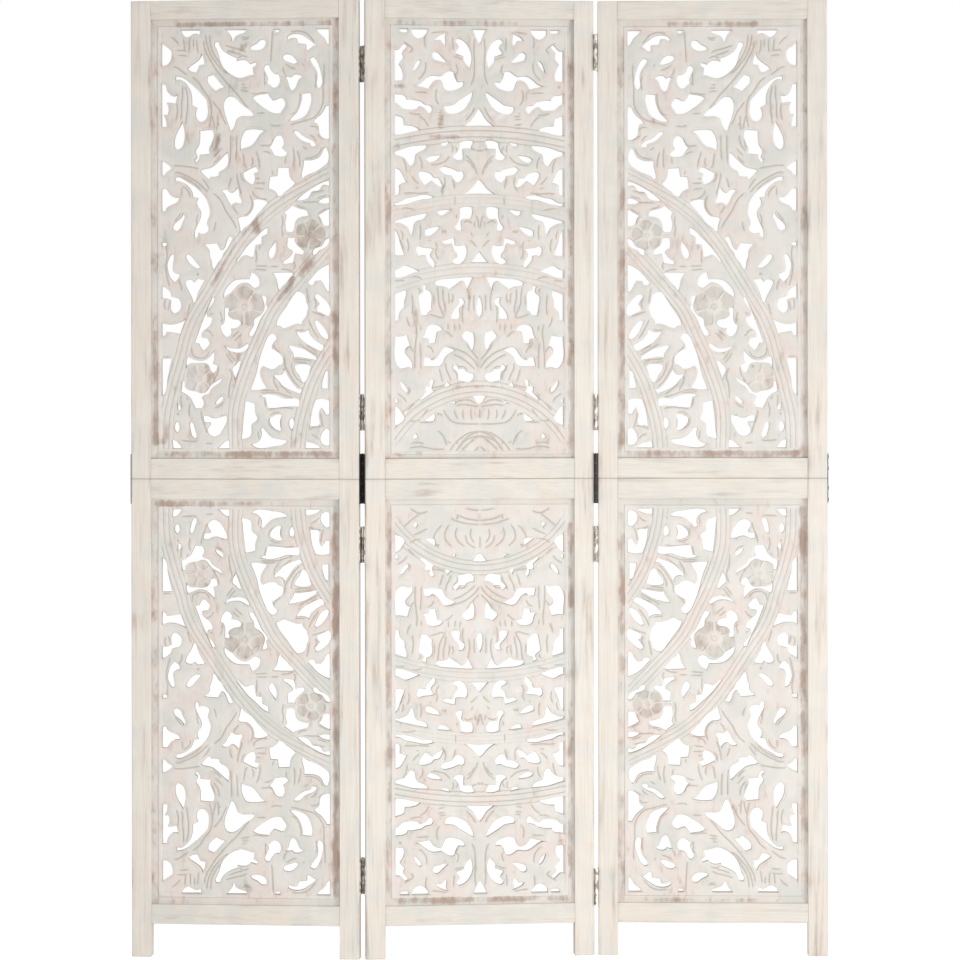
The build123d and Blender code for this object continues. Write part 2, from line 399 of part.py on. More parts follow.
# Lowest point, top, rails and leg of each half
HALVES = {
    "upper": {"foot": SEAM_HEIGHT, "top": SCREEN_HEIGHT, "rails": (SEAM_RAIL, TOP_RAIL), "leg": 0.0},
    "lower": {"foot": 0.0, "top": SEAM_HEIGHT, "rails": (BOTTOM_RAIL, SEAM_RAIL), "leg": LEG_LENGTH},
}


def leaf_plane(leaf, out=0.0):
    """Upright plane through a leaf, its y up and its z out of the front, moved out by a distance."""
    return Plane(origin=middles[leaf] + front(leaf) * out, x_dir=across(leaf), z_dir=front(leaf))


def edge_plane(leaf, side, out=0.0):
    """Upright plane on a leaf's edge, its y up and its z away from the leaf, moved out by a distance."""
    place = middles[leaf] + across(leaf) * (side * (LEAF_WIDTH / 2 + out))
    return Plane(origin=place, x_dir=front(leaf) * -side, z_dir=across(leaf) * side)


def on_edge(side, to_front, height):
    """Point of an edge plane, from its distance to the front and its height."""
    return (-side * to_front, height)


def line_beside(leaf, side):
    """Name of the hinge line beside a leaf's edge, or None at the two ends of the screen."""
    for line, plates in LINE_LEAVES.items():
        if (leaf, side) in plates:
            return line
    return None


def plate_middle(line, width):
    """How far to the front a plate's middle is: a hinge's plate ends at the face with the barrel."""
    return LINE_FACES[line] * (FRAME_THICKNESS - width) / 2 if line else 0.0


def hinge_heights(line):
    """Heights of the middles of a line's small hinges, from the top down."""
    top = SCREEN_HEIGHT - HINGE_BELOW_TOP[line]
    return (top, SEAM_HEIGHT + HINGE_FROM_SEAM, SEAM_HEIGHT - HINGE_FROM_SEAM, HINGE_ABOVE_FLOOR[line])


def small_screw_places(leaf, side):
    """Edge points of the small hinges' screws."""
    line = line_beside(leaf, side)
    if line is None:
        return []
    to_front = plate_middle(line, HINGE_WIDTH)
    steps = (-SCREW_SPACING, 0.0, SCREW_SPACING)
    return [on_edge(side, to_front, height + step) for height in hinge_heights(line) for step in steps]


def seam_screw_places(leaf, side):
    """Edge points of the screws of the hinge or plate across the seam."""
    to_front = plate_middle(line_beside(leaf, side), SEAM_PLATE_WIDTH)
    places = [end * place for place in SEAM_SCREW_PLACES for end in ENDS]
    return [on_edge(side, to_front, SEAM_HEIGHT + place) for place in places]


def rail_spans(half):
    """Lowest and highest point of a half's bottom rail and top rail."""
    low = half["foot"] + half["leg"]
    return ((low, low + half["rails"][0]), (half["top"] - half["rails"][1], half["top"]))


def sight(half):
    """Lowest and highest point of a half's framed opening."""
    bottom_rail, top_rail = rail_spans(half)
    return bottom_rail[1], top_rail[0]


def make_stile(leaf, half, side):
    """Stile with the panel groove, two mortises and the pilot holes of its hardware."""
    inner = side * OPENING_WIDTH / 2
    sight_low, sight_high = sight(half)
    mortise_depth = TENON_LENGTH + JOINT_CLEARANCE
    shoulder = TENON_SHOULDER - JOINT_CLEARANCE
    with BuildPart() as stile:
        with BuildSketch(leaf_plane(leaf, -FRAME_THICKNESS / 2)):
            with Locations((side * (LEAF_WIDTH - STILE_WIDTH) / 2, (half["foot"] + half["top"]) / 2)):
                Rectangle(STILE_WIDTH, half["top"] - half["foot"])
        extrude(amount=FRAME_THICKNESS)
        outward = Axis((0, 0, 0), across(leaf) * side)
        fillet(stile.edges().filter_by(Axis.Z).sort_by(outward)[-2:], EDGE_ROUND)
        with BuildSketch(leaf_plane(leaf, -GROOVE_WIDTH / 2)):
            with Locations((inner + side * GROOVE_DEPTH / 2, (sight_low + sight_high) / 2)):
                Rectangle(GROOVE_DEPTH, sight_high - sight_low + 2 * GROOVE_DEPTH)
        extrude(amount=GROOVE_WIDTH, mode=Mode.SUBTRACT)
        with BuildSketch(leaf_plane(leaf, -GROOVE_WIDTH / 2 - JOINT_CLEARANCE)):
            for low, high in rail_spans(half):
                with Locations((inner + side * mortise_depth / 2, (low + high) / 2)):
                    Rectangle(mortise_depth, high - low - 2 * shoulder)
        extrude(amount=GROOVE_WIDTH + 2 * JOINT_CLEARANCE, mode=Mode.SUBTRACT)
        screws = small_screw_places(leaf, side) + seam_screw_places(leaf, side)
        with BuildSketch(edge_plane(leaf, side)):
            with Locations([place for place in screws if half["foot"] < place[1] < half["top"]]):
                Circle(SCREW_RADIUS + SCREW_CLEARANCE)
        extrude(amount=-(SCREW_IN_WOOD + PILOT_SPARE), mode=Mode.SUBTRACT)
    return stile.part


def make_rail(leaf, half, which):
    """Bottom rail (0) or top rail (1), with stub tenons and the panel groove along its inner edge."""
    low, high = rail_spans(half)[which]
    groove_middle = (high - GROOVE_DEPTH / 2, low + GROOVE_DEPTH / 2)[which]
    full_length = OPENING_WIDTH + 2 * TENON_LENGTH
    with BuildPart() as rail:
        with BuildSketch(leaf_plane(leaf, -FRAME_THICKNESS / 2)):
            with Locations((0, (low + high) / 2)):
                Rectangle(OPENING_WIDTH, high - low)
        extrude(amount=FRAME_THICKNESS)
        with BuildSketch(leaf_plane(leaf, -GROOVE_WIDTH / 2)):
            with Locations((0, (low + high) / 2)):
                Rectangle(full_length, high - low - 2 * TENON_SHOULDER)
        extrude(amount=GROOVE_WIDTH)
        with BuildSketch(leaf_plane(leaf, -GROOVE_WIDTH / 2)):
            with Locations((0, groove_middle)):
                Rectangle(full_length, GROOVE_DEPTH)
        extrude(amount=GROOVE_WIDTH, mode=Mode.SUBTRACT)
    return rail.part


def outline_runs(points):
    """Split a closed outline at its corners into runs of points that one smooth curve follows."""
    count = len(points)
    headings = []
    for (x0, y0), (x1, y1) in zip(points, points[1:] + points[:1]):
        headings.append(degrees(atan2(y1 - y0, x1 - x0)))
    turns = [abs((headings[i] - headings[i - 1] + 180) % 360 - 180) for i in range(count)]
    corners = [i for i in range(count) if turns[i] > CORNER_TURN]
    ends = corners[1:] + [corners[0] + count]
    return [[points[i % count] for i in range(start, end + 1)] for start, end in zip(corners, ends)]


def opening_face(points):
    """Face of one pierced opening."""
    with BuildSketch() as opening:
        with BuildLine():
            for run in outline_runs(points):
                if len(run) == 2:
                    Line(*run)
                else:
                    Spline(*run)
        make_face()
    return opening.face()


def chart_outlines(leaf):
    """Outlines of a leaf's openings, from -0.5 to 0.5 across the carved field and in chart units up."""
    if leaf == "centre":
        width = CENTRE_CHART_WIDTH
        right_half = [[(width - x, y) for x, y in outline] for outline in CENTRE_OPENINGS]
        crossing = [line + [(width - x, y) for x, y in line[-2:0:-1]] for line in CENTRE_LINE_OPENINGS]
        lines = CENTRE_OPENINGS + right_half + crossing
        return [[(x / width - 0.5, y) for x, y in line] for line in lines]
    hand = 1 if leaf == "left" else -1
    return [[(hand * (x / SIDE_CHART_WIDTH - 0.5), y) for x, y in outline] for outline in SIDE_OPENINGS]


def make_panel(leaf, half):
    """Pierced panel. The carving of the lower panel is the upper one's mirrored about the seam."""
    sight_low, sight_high = sight(half)
    middle = (sight_low + sight_high) / 2
    tongues = 2 * (GROOVE_DEPTH - PANEL_PLAY)
    field_width = OPENING_WIDTH - 2 * PANEL_BORDER
    upper = half["foot"] == SEAM_HEIGHT
    seam_border = CENTRE_SEAM_BORDERS["upper" if upper else "lower"] if leaf == "centre" else PANEL_BORDER
    field_foot = sight_low + seam_border if upper else sight_high - seam_border
    field_head = sight_high - PANEL_BORDER if upper else sight_low + PANEL_BORDER
    rise = (field_head - field_foot) / CHART_HEIGHT
    openings = []
    for outline in chart_outlines(leaf):
        placed = [(x * field_width, field_foot + y * rise) for x, y in outline]
        openings.append(opening_face(placed))
    with BuildPart() as panel:
        with BuildSketch(leaf_plane(leaf, -PANEL_THICKNESS / 2)):
            with Locations((0, middle)):
                Rectangle(OPENING_WIDTH + tongues, sight_high - sight_low + tongues)
            add(openings, mode=Mode.SUBTRACT)
        extrude(amount=PANEL_THICKNESS)
    return panel.part


def knuckle_spans(height, tall, first):
    """Lowest and highest point of every other knuckle of a hinge, from its first or second one."""
    step = tall / KNUCKLES
    for i in range(first, KNUCKLES, 2):
        bottom = height - tall / 2 + i * step
        gap_below = KNUCKLE_GAP / 2 if i > 0 else 0.0
        gap_above = KNUCKLE_GAP / 2 if i < KNUCKLES - 1 else 0.0
        yield bottom + gap_below, bottom + step - gap_above


def make_hinge_plate(leaf, side, height, size, screws, sunk):
    """One plate of a hinge with its knuckles. The leaf on the left of a hinge line has the end knuckles."""
    line = line_beside(leaf, side)
    tall, wide, thick = size
    barrel_foot = LINE_FACES[line] * (FRAME_THICKNESS + AXIS_STANDOFF) / 2
    with BuildPart() as plate:
        with BuildSketch(edge_plane(leaf, side)):
            with Locations(on_edge(side, plate_middle(line, wide), height)):
                Rectangle(wide, tall)
            for low, high in knuckle_spans(height, tall, 0 if side > 0 else 1):
                with Locations(on_edge(side, barrel_foot, (low + high) / 2)):
                    Rectangle(AXIS_STANDOFF, high - low)
        extrude(amount=thick)
        for low, high in knuckle_spans(height, tall, 0 if side > 0 else 1):
            with BuildSketch(Plane.XY.offset(low)):
                with Locations(lines[line]):
                    Circle(BARREL_RADIUS)
            extrude(amount=high - low)
        with BuildSketch(Plane.XY.offset(height - tall / 2)):
            with Locations(lines[line]):
                Circle(PIN_RADIUS + PIN_CLEARANCE)
        extrude(amount=tall, mode=Mode.SUBTRACT)
        with Locations(edge_plane(leaf, side, thick)):
            with Locations([place for place in screws if abs(place[1] - height) < tall / 2]):
                if sunk:
                    CounterSinkHole(SCREW_RADIUS + SCREW_CLEARANCE, SINK_RADIUS, 2 * thick, SINK_ANGLE)
                else:
                    Hole(SCREW_RADIUS + SCREW_CLEARANCE, 2 * thick)
    return plate.part


def make_joining_plate(leaf, side):
    """Plate across the seam of the halves, on an outer edge of the screen."""
    with BuildPart() as plate:
        with BuildSketch(edge_plane(leaf, side)):
            with Locations((0, SEAM_HEIGHT)):
                Rectangle(SEAM_PLATE_WIDTH, SEAM_PLATE_HEIGHT)
            with Locations(seam_screw_places(leaf, side)):
                Circle(SCREW_RADIUS + SCREW_CLEARANCE, mode=Mode.SUBTRACT)
        extrude(amount=SEAM_PLATE_THICKNESS)
    return plate.part


def make_pins(line):
    """Pins of a line's hinges, each hanging by its head on the top knuckle."""
    spans = [(height, HINGE_HEIGHT) for height in hinge_heights(line)] + [(SEAM_HEIGHT, SEAM_PLATE_HEIGHT)]
    with BuildPart() as pins:
        for height, tall in spans:
            with BuildSketch(Plane.XY.offset(height - tall / 2)):
                with Locations(lines[line]):
                    Circle(PIN_RADIUS)
            extrude(amount=tall)
            with BuildSketch(Plane.XY.offset(height + tall / 2)):
                with Locations(lines[line]):
                    Circle(PIN_HEAD_RADIUS)
            extrude(amount=PIN_HEAD_HEIGHT)
    return pins.part


def make_sunk_screws(leaf):
    """Countersunk screws of the small hinges on a leaf."""
    from_top = (Align.CENTER, Align.CENTER, Align.MAX)
    sink_depth = SINK_RADIUS - SCREW_RADIUS - 2 * SCREW_CLEARANCE
    with BuildPart() as screws:
        for side in ENDS:
            if line_beside(leaf, side):
                with Locations(edge_plane(leaf, side, HINGE_THICKNESS)):
                    with Locations(small_screw_places(leaf, side)):
                        Cylinder(SCREW_RADIUS, HINGE_THICKNESS + SCREW_IN_WOOD, align=from_top)
                        Cone(SCREW_RADIUS, SCREW_RADIUS + sink_depth, sink_depth, align=from_top)
    return screws.part


def make_domed_screws(leaf):
    """Domed screws of the seam hinges and plates on a leaf."""
    with BuildPart() as screws:
        for side in ENDS:
            with Locations(edge_plane(leaf, side, SEAM_PLATE_THICKNESS)):
                with Locations(seam_screw_places(leaf, side)):
                    Cylinder(SCREW_RADIUS, SEAM_PLATE_THICKNESS + SCREW_IN_WOOD,
                             align=(Align.CENTER, Align.CENTER, Align.MAX))
                    Cylinder(DOME_RADIUS, DOME_HEIGHT, align=(Align.CENTER, Align.CENTER, Align.MIN))
            outward = Axis((0, 0, 0), across(leaf) * side)
            fillet(screws.edges().group_by(outward)[-1], DOME_ROUND)
    return screws.part


def write_part(part, name):
    """Label a finished piece and write it under that name."""
    part.label = name
    export_step(part, f"parts/{name}.step")


os.makedirs("parts", exist_ok=True)
for leaf in LEAVES:
    for half_name, half in HALVES.items():
        for side_name, side in SIDES.items():
            write_part(make_stile(leaf, half, side), f"{leaf}_{half_name}_stile_{side_name}")
        write_part(make_rail(leaf, half, 0), f"{leaf}_{half_name}_bottom_rail")
        write_part(make_rail(leaf, half, 1), f"{leaf}_{half_name}_top_rail")
        write_part(make_panel(leaf, half), f"{leaf}_{half_name}_jali_panel")
    write_part(make_sunk_screws(leaf), f"{leaf}_hinge_screws")
    write_part(make_domed_screws(leaf), f"{leaf}_seam_screws")

HINGE_NAMES = ("top", "above_seam", "below_seam", "foot")
for line, plates in LINE_LEAVES.items():
    for leaf, side in plates:
        screws = small_screw_places(leaf, side)
        for hinge_name, height in zip(HINGE_NAMES, hinge_heights(line)):
            plate = make_hinge_plate(leaf, side, height, SMALL_HINGE, screws, sunk=True)
            write_part(plate, f"{line}_line_{hinge_name}_hinge_on_{leaf}")
        screws = seam_screw_places(leaf, side)
        plate = make_hinge_plate(leaf, side, SEAM_HEIGHT, SEAM_HINGE, screws, sunk=False)
        write_part(plate, f"{line}_line_seam_hinge_on_{leaf}")
    write_part(make_pins(line), f"{line}_line_hinge_pins")
write_part(make_joining_plate("left", -1), "left_joining_plate")
write_part(make_joining_plate("right", 1), "right_joining_plate")

for line, place in lines.items():
    print(f"{line} hinge line at x {place.X:.4f}, y {place.Y:.4f}")
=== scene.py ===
"""Looks of the carved three-leaf screen: whitewashed mango wood, pierced panels and steel hardware."""

import math

import bpy
import numpy as np
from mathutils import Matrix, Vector
from mathutils.bvhtree import BVHTree
from mathutils.geometry import delaunay_2d_cdt


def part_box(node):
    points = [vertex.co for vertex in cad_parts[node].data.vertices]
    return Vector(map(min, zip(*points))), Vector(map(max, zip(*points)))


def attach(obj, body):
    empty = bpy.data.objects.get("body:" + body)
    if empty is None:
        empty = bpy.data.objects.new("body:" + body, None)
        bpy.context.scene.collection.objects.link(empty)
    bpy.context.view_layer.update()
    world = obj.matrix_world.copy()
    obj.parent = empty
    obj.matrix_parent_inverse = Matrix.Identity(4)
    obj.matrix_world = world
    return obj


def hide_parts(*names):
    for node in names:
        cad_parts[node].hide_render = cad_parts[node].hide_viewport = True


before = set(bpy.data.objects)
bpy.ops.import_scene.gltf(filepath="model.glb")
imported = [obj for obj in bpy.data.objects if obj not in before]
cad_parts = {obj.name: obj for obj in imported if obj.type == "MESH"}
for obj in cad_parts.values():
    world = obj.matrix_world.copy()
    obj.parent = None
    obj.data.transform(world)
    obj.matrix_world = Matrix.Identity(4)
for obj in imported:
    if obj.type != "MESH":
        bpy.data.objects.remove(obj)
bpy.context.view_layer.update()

MM = 0.001
LEAVES = ("left", "centre", "right")
HALVES = ("upper", "lower")

# ---------------------------------------------------------------- carving, in chart units
# The chart is the pierced field of an upper panel: across from its left edge, up from its foot.
CHART_HEIGHT = 416.0
CHART_WIDTHS = {"side": 167.0, "centre": 169.0}
CHART_FOOT = {"side": 0.0, "centre": 7.0}  # height of the lowest pierced edge
SEAM_RUN = {"side": 0.0, "centre": 8.0}  # how much nearer to the seam the carved face runs on, in mm

# Middle lines of the side panels' three bands
SIDE_BANDS = [
    [(167, 271), (114, 241), (80, 206), (45, 150), (33, 130), (25, 110), (20, 90), (14, 70), (9, 50),
     (5, 30), (4, -2)],
    [(167, 203), (138, 170), (113.5, 140), (99, 110), (86, 80), (74, 40), (73.5, -2)],
    [(172, 104), (165, 93), (157, 79), (149.5, 63), (144, 46), (139.5, 30), (136.5, 14), (135, -2)],
]
BAND_HALF_WIDTH = 6.3
SIDE_LINING = 0.75  # how deep the side panels' bands are lined
# Five-petal flowers of the side panels: middle, radius, turn of the first petal in degrees and darkness
# of their painted shade, dirt and wear
SIDE_FLOWERS = [(148, 212, 15, 80, 1.0), (82, 140.6, 20, 90, 0.95), (37.6, 69.6, 15, 70, 0.6)]
# Bands of the centre panels: height on the middle line, radius, half width and how deep they are lined
CENTRE_ARCS = [(312, 362, 7.5, 1.0), (245.3, 281, 6.2, 0.45), (175.7, 245, 7.0, 0.6),
               (57.2, 101.7, 7.2, 0.9)]
# The carver's short strokes on the side panels
SIDE_CUTS = [
    # top corner by the outer edge
    [(9, 410), (14, 406), (18, 401)], [(22, 408), (23, 399), (24, 394)],
    [(28, 408), (28, 400), (27, 393)], [(32, 408), (32, 398)], [(35, 407), (36, 397), (37, 392)],
    [(16, 391), (21, 391), (27, 390)], [(14, 396), (20, 396), (26, 395)],
    [(11, 380), (17, 378), (22, 374), (26, 371)],
    [(30, 370), (36, 365), (40, 359), (44, 353), (47, 349), (49, 343), (50, 335), (49, 326), (47, 318)],
    [(44, 412), (45, 404), (47, 397), (50, 390), (54, 384), (60, 377), (66, 372)],
    [(48, 412), (49, 402), (52, 393), (57, 385), (63, 377), (69, 372), (77, 368)],
    [(42, 406), (43, 398), (46, 391), (50, 384), (55, 376), (62, 367), (68, 360), (73, 355), (77, 350),
     (82, 343), (87, 337)], [(63, 401), (72, 398), (80, 396), (85, 393)],
    [(66, 396), (73, 393), (81, 391)], [(76, 387), (81, 390), (87, 388)],
    [(79, 409), (84, 408), (89, 409)], [(21, 362), (21, 352), (20, 342), (20, 332), (19, 326)],
    [(24, 361), (26, 350), (26, 340), (25, 330), (24, 321)], [(15, 344), (16, 335), (14, 325)],
    [(50, 332), (52, 324), (53, 316)], [(56, 332), (56, 324), (55, 315)],
    [(51, 345), (55, 340), (59, 334), (62, 327), (65, 321)], [(79, 361.5), (85, 361.5)],
    [(79, 358.5), (87, 358)], [(78, 356), (88, 354)],
    # top corner by the inner edge
    [(80, 406), (88, 407)], [(128, 413), (136, 414), (144, 412), (150, 406), (153, 402)],
    [(111, 416), (110, 400), (109, 383)], [(123, 382), (129, 378), (135, 376)],
    [(121, 379), (122, 373), (125, 370)], [(140, 383), (142, 379)],
    [(162, 382), (162, 372), (161, 358), (161, 345), (159, 337), (155, 331), (150, 327), (143, 325),
     (135, 323), (128, 321)], [(138, 354), (138, 346), (136, 338), (133, 333), (128, 331)],
    [(153, 372), (154, 364), (153, 356)], [(103, 376), (103, 367), (103, 360)],
    [(89, 353), (94, 352), (100, 353), (106, 353)], [(94, 333), (104, 333)],
    [(108, 322), (113, 320), (120, 321)], [(147, 319), (154, 319), (156, 315)],
    # above the first band
    [(57, 312), (56, 304), (53, 298), (50, 295)], [(52, 309), (51, 302), (49, 297)],
    [(60, 299), (56, 294), (52, 290)], [(59, 292), (56, 287), (51, 283)],
    [(11, 281), (20, 281), (27, 280), (33, 279), (38, 278)],
    [(12, 274), (17, 274.5), (23, 272), (29, 269), (34, 266), (39, 262), (43, 258), (47, 254)],
    [(15, 270.5), (22, 269), (28, 266), (34, 262), (40, 256)], [(40, 269), (44, 264), (48, 257)],
    [(51, 254), (57, 249), (61, 243), (64, 236), (68, 230), (72, 224), (75, 218)],
    [(20, 261), (25, 258), (28, 253), (28, 249)], [(20, 260), (20, 250)], [(36, 249), (35, 241)],
    [(37, 234), (35, 228), (35, 222), (33, 217)], [(20, 235), (16, 229), (12, 225)],
    [(54, 226), (53, 219), (51, 215)], [(70, 270), (68, 264), (67, 258)],
    [(75, 274), (76, 266), (78, 258), (80, 251)], [(79, 275), (80, 268), (84, 264)],
    [(69, 312), (69, 296), (68, 282)], [(75, 312), (75, 298), (74, 286)],
    [(71, 242), (73, 237), (77, 232)], [(112, 309), (111, 305), (108, 301), (98, 301)],
    [(101, 295), (107, 294), (110, 291)], [(81, 294), (82, 288), (83, 281), (86, 278)],
    [(90, 290), (91, 284), (89, 279)], [(94, 296), (97, 286), (98, 277)], [(110, 277), (111, 271)],
    [(93, 268), (99, 268)], [(93, 263.5), (104, 263.5)],
    [(131, 299), (132, 292), (132, 284), (131, 278)], [(124, 290), (123, 282)],
    [(135, 296), (137, 290), (138, 284), (138, 278)], [(140, 300), (143, 298), (146, 296)],
    [(147, 311), (151, 309), (154, 304)], [(154, 312), (158, 309), (163, 306)],
    [(160, 299), (158, 294), (154, 290), (148, 288), (142, 288)],
    # between the first band and the second
    [(149, 254), (155, 255), (163, 256)], [(140, 244), (152, 244.5), (165, 245)],
    [(134, 242), (139, 239), (145, 238)], [(155, 233), (160, 235), (165, 239)],
    [(154, 247), (158, 249), (165, 251)], [(155, 231), (158, 227), (158, 222)],
    [(120, 232), (121, 225), (120, 218), (121, 209)], [(91, 257), (92, 252), (98, 248), (106, 247)],
    [(92, 258.5), (98, 258), (103, 257)], [(88, 252), (90, 246), (90, 240), (87, 234), (82, 231)],
    [(4, 203), (5.5, 192), (4, 180), (6, 168), (8, 160)], [(16, 169), (19, 163), (20, 156)],
    [(4, 149), (2.5, 143), (4, 137)], [(8, 147), (7, 141), (6, 136)], [(29, 145), (27, 138), (25, 131)],
    [(58, 136), (60, 130), (60, 122)], [(52, 135), (47, 132)], [(43, 118), (48, 116), (50, 112)],
    [(94, 198), (94.5, 190), (94, 183)], [(97.5, 203), (98, 196)], [(92, 178), (98, 177.5), (105, 177)],
    [(93, 181), (100, 181), (106, 181)], [(108, 180.5), (113, 180.5), (117, 180.5)],
    [(118, 178), (126, 177), (132, 174)], [(144, 160), (145.5, 151), (147, 143)],
    [(151, 150), (154, 144), (152, 138)], [(149, 136), (156, 133.5), (164, 131)],
    [(146, 128), (149, 121), (153, 114), (157, 108)], [(132, 117.5), (138, 117), (143, 118)],
    [(129, 187), (133, 182), (131, 176)], [(90, 154), (92, 149), (96, 147)],
    # leaf over the lowest flower
    [(70, 110), (74, 114), (78, 117)], [(72, 106), (77, 111), (81, 115)],
    [(64, 95), (68, 88), (72, 84)], [(66, 97), (70, 91), (74, 86)], [(70, 98), (74, 93)],
    # between the outer edge and the second band
    [(0, 91), (9, 91)], [(30, 101), (31, 93), (37, 89.5), (44, 91), (48, 97)],
    [(56, 82), (56, 76), (53, 69), (50, 64)], [(67, 80), (70, 72), (68, 64), (67, 56), (67, 48)],
    [(19, 54), (19, 46), (20, 40)], [(24, 52), (27, 47)], [(61, 46), (58, 42), (52, 40)],
    [(29, 46), (27, 38), (28, 30)], [(39, 38), (40, 30), (43, 22), (45, 14)],
    [(19, 8), (28, 7), (36, 7.5)], [(43, 5), (52, 4.5)], [(48, 31), (52, 30)], [(58, 32), (62, 33)],
    # between the second band and the third
    [(110, 104), (114, 98), (119, 94)], [(122, 92), (123, 82), (127, 74), (132, 66), (138, 60)],
    [(129, 86), (130, 78), (134, 70), (139, 65)], [(131, 89), (138, 88), (146, 87.5), (150, 86)],
    [(131, 86.5), (138, 85), (146, 84.5)], [(143, 103), (150, 99), (155, 95)],
    [(135, 104), (142, 100), (150, 95), (156, 92)], [(112, 73), (112, 66), (115, 60), (117, 56)],
    [(116, 70), (119, 63), (125, 57), (131, 53)], [(98, 58), (106, 57.5), (114, 57)],
    [(98, 55.5), (108, 55), (116, 55), (124, 52), (132, 50)], [(102, 50), (103, 45), (104, 40)],
    [(107, 32), (112, 35), (119, 35.5)], [(107, 30), (107, 24), (111, 20), (117, 17)],
    [(119, 30), (118, 24), (119, 19)], [(106, 38), (114, 40), (124, 40.5), (132, 39)],
    [(128, 12), (130, 7)], [(96, 18), (97, 8)],
    # inside the third band
    [(158, 36), (159, 28), (161, 20)], [(146, 18), (152, 21), (160, 22)],
    [(148, 14), (153, 12), (157, 8)],
]
# Pits on the side panels: middle, radius
SIDE_PITS = [(44, 81, 2.4), (60, 127, 2.2), (36, 173, 2.2), (16, 34, 1.6), (51, 112, 1.4),
             (57, 322, 1.6)]
# Hollows on the side panels: middle, half length, half width and the turn of the length in degrees
SIDE_HOLLOWS = [(145, 178, 13, 5, 52), (67, 196, 14, 3.2, 58), (55, 170, 14, 3.0, 62),
                (92, 88, 5, 3, 60)]
# The carver's strokes on the left half of the centre panels, which the right half mirrors
CENTRE_CUTS = [
    # lyre scrolls at the top
    [(8, 404), (14, 400), (18, 396), (14, 392)], [(32, 413), (30, 406), (31, 396)],
    [(36, 412), (44, 413), (52, 414)], [(58, 409), (58, 402), (59, 394)],
    [(58, 389), (63, 388), (69, 386)], [(61, 382), (63, 374), (60, 370), (63, 365)],
    [(31, 384), (31, 376), (28, 370), (23, 365)], [(60, 391), (65, 390.5), (69, 389)],
    [(80, 408), (79, 396), (79.5, 384), (79, 370), (76, 360)],
    [(42, 357), (41, 350), (42, 344), (45, 340)], [(34, 352), (28, 353), (20, 353)],
    [(42, 327), (46, 326.5), (50, 326)], [(43, 330), (47, 329.5), (51, 329)],
    [(42, 322), (47, 321), (50, 321)], [(43, 333), (47, 332.5)], [(42, 318), (50, 317.5)],
    [(70, 324), (76, 331), (80, 339)], [(14, 333), (20, 331), (27, 331)],
    [(24, 330), (30, 325), (34, 318)],
    # palmettes between the upper bands
    [(56, 302), (58, 297), (57, 292)], [(60, 300), (62, 296), (62, 292)],
    [(70, 291), (76, 285), (80, 278), (82, 270)], [(71, 286), (76, 282), (79, 276)],
    [(72, 300), (77, 297), (82, 295)], [(17, 270), (20, 265), (25, 261)], [(20, 258.5), (25, 257)],
    [(24, 290), (27, 283), (27, 276)], [(49, 270), (50, 262), (46, 254)],
    [(57, 268), (59, 262), (60, 256)], [(8, 252), (16, 252.5), (24, 252), (35, 253)],
    [(8, 288), (11, 281), (12, 272)], [(35, 281), (42, 281), (50, 284), (55, 290)],
    [(60, 250), (60, 240)],
    # palmettes between the lower bands
    [(6, 237), (14, 237), (22, 235)], [(61, 232), (62, 226)], [(68, 222), (72, 225), (78, 222)],
    [(81, 231), (83, 224), (84, 217)], [(80, 226), (79, 218)], [(75, 214), (78, 209)],
    [(48, 217), (47, 211)], [(25, 222), (26, 214), (25, 205)], [(6, 216), (8, 211), (8, 205)],
    [(5, 207), (7, 202), (9, 195)], [(74, 206), (78, 203), (82, 198)], [(33, 205), (37, 205)],
    [(12, 208), (14, 200), (13, 193)], [(40, 205), (42, 199), (41, 192), (44, 186)],
    # leaves over the ring
    [(16, 168), (22, 169), (28, 166)], [(0, 165), (11, 165)], [(22, 158), (26, 155), (23, 152)],
    [(42, 160), (43, 152), (44, 142), (47, 134), (50, 128)],
    [(48, 158), (48, 148), (50, 138), (50, 131)], [(53, 154), (54, 148), (54, 141)],
    [(57, 153), (58, 147), (56, 142)], [(39, 152), (39, 140)], [(69, 145), (67, 134), (68, 122)],
    [(12, 130), (13, 124), (16, 118)], [(17, 152), (18, 140), (17, 130)],
    [(34, 132), (40, 130), (46, 128), (50, 129)], [(21, 122), (22, 112), (21, 104), (20, 90), (20, 76)],
    [(26, 121), (26, 114)], [(25, 104), (26, 90), (26, 76)], [(49, 115), (53, 113), (58, 108)],
    [(53, 123), (53, 115)], [(59, 123), (60, 114)], [(64, 123), (65, 115)],
    [(79, 152), (78.5, 144), (79, 134)], [(72, 158), (74, 146), (73, 134)],
    [(10, 95), (15, 99), (20, 92)], [(31, 89), (36, 86), (41, 89)], [(31, 100), (36, 98), (39, 92)],
    # arch and curls over the ring
    [(50, 99), (60, 97), (68, 94), (74, 90), (80, 84), (84, 77)], [(71, 103), (77, 94), (84, 86)],
    [(57, 92), (66, 88), (74, 82), (80, 76)], [(50, 84), (51, 77), (54, 70), (56, 64)],
    [(57, 82), (59, 76), (62, 71), (62, 66)], [(44, 78), (46, 70), (48, 63)],
    [(62, 79), (68, 79), (72, 76)], [(38, 66), (37, 59), (45, 59.5), (50, 62)],
    [(2, 53), (9, 48), (12, 43)], [(12, 35), (16, 39), (20, 44)], [(13, 60), (15, 55), (12, 51)],
]
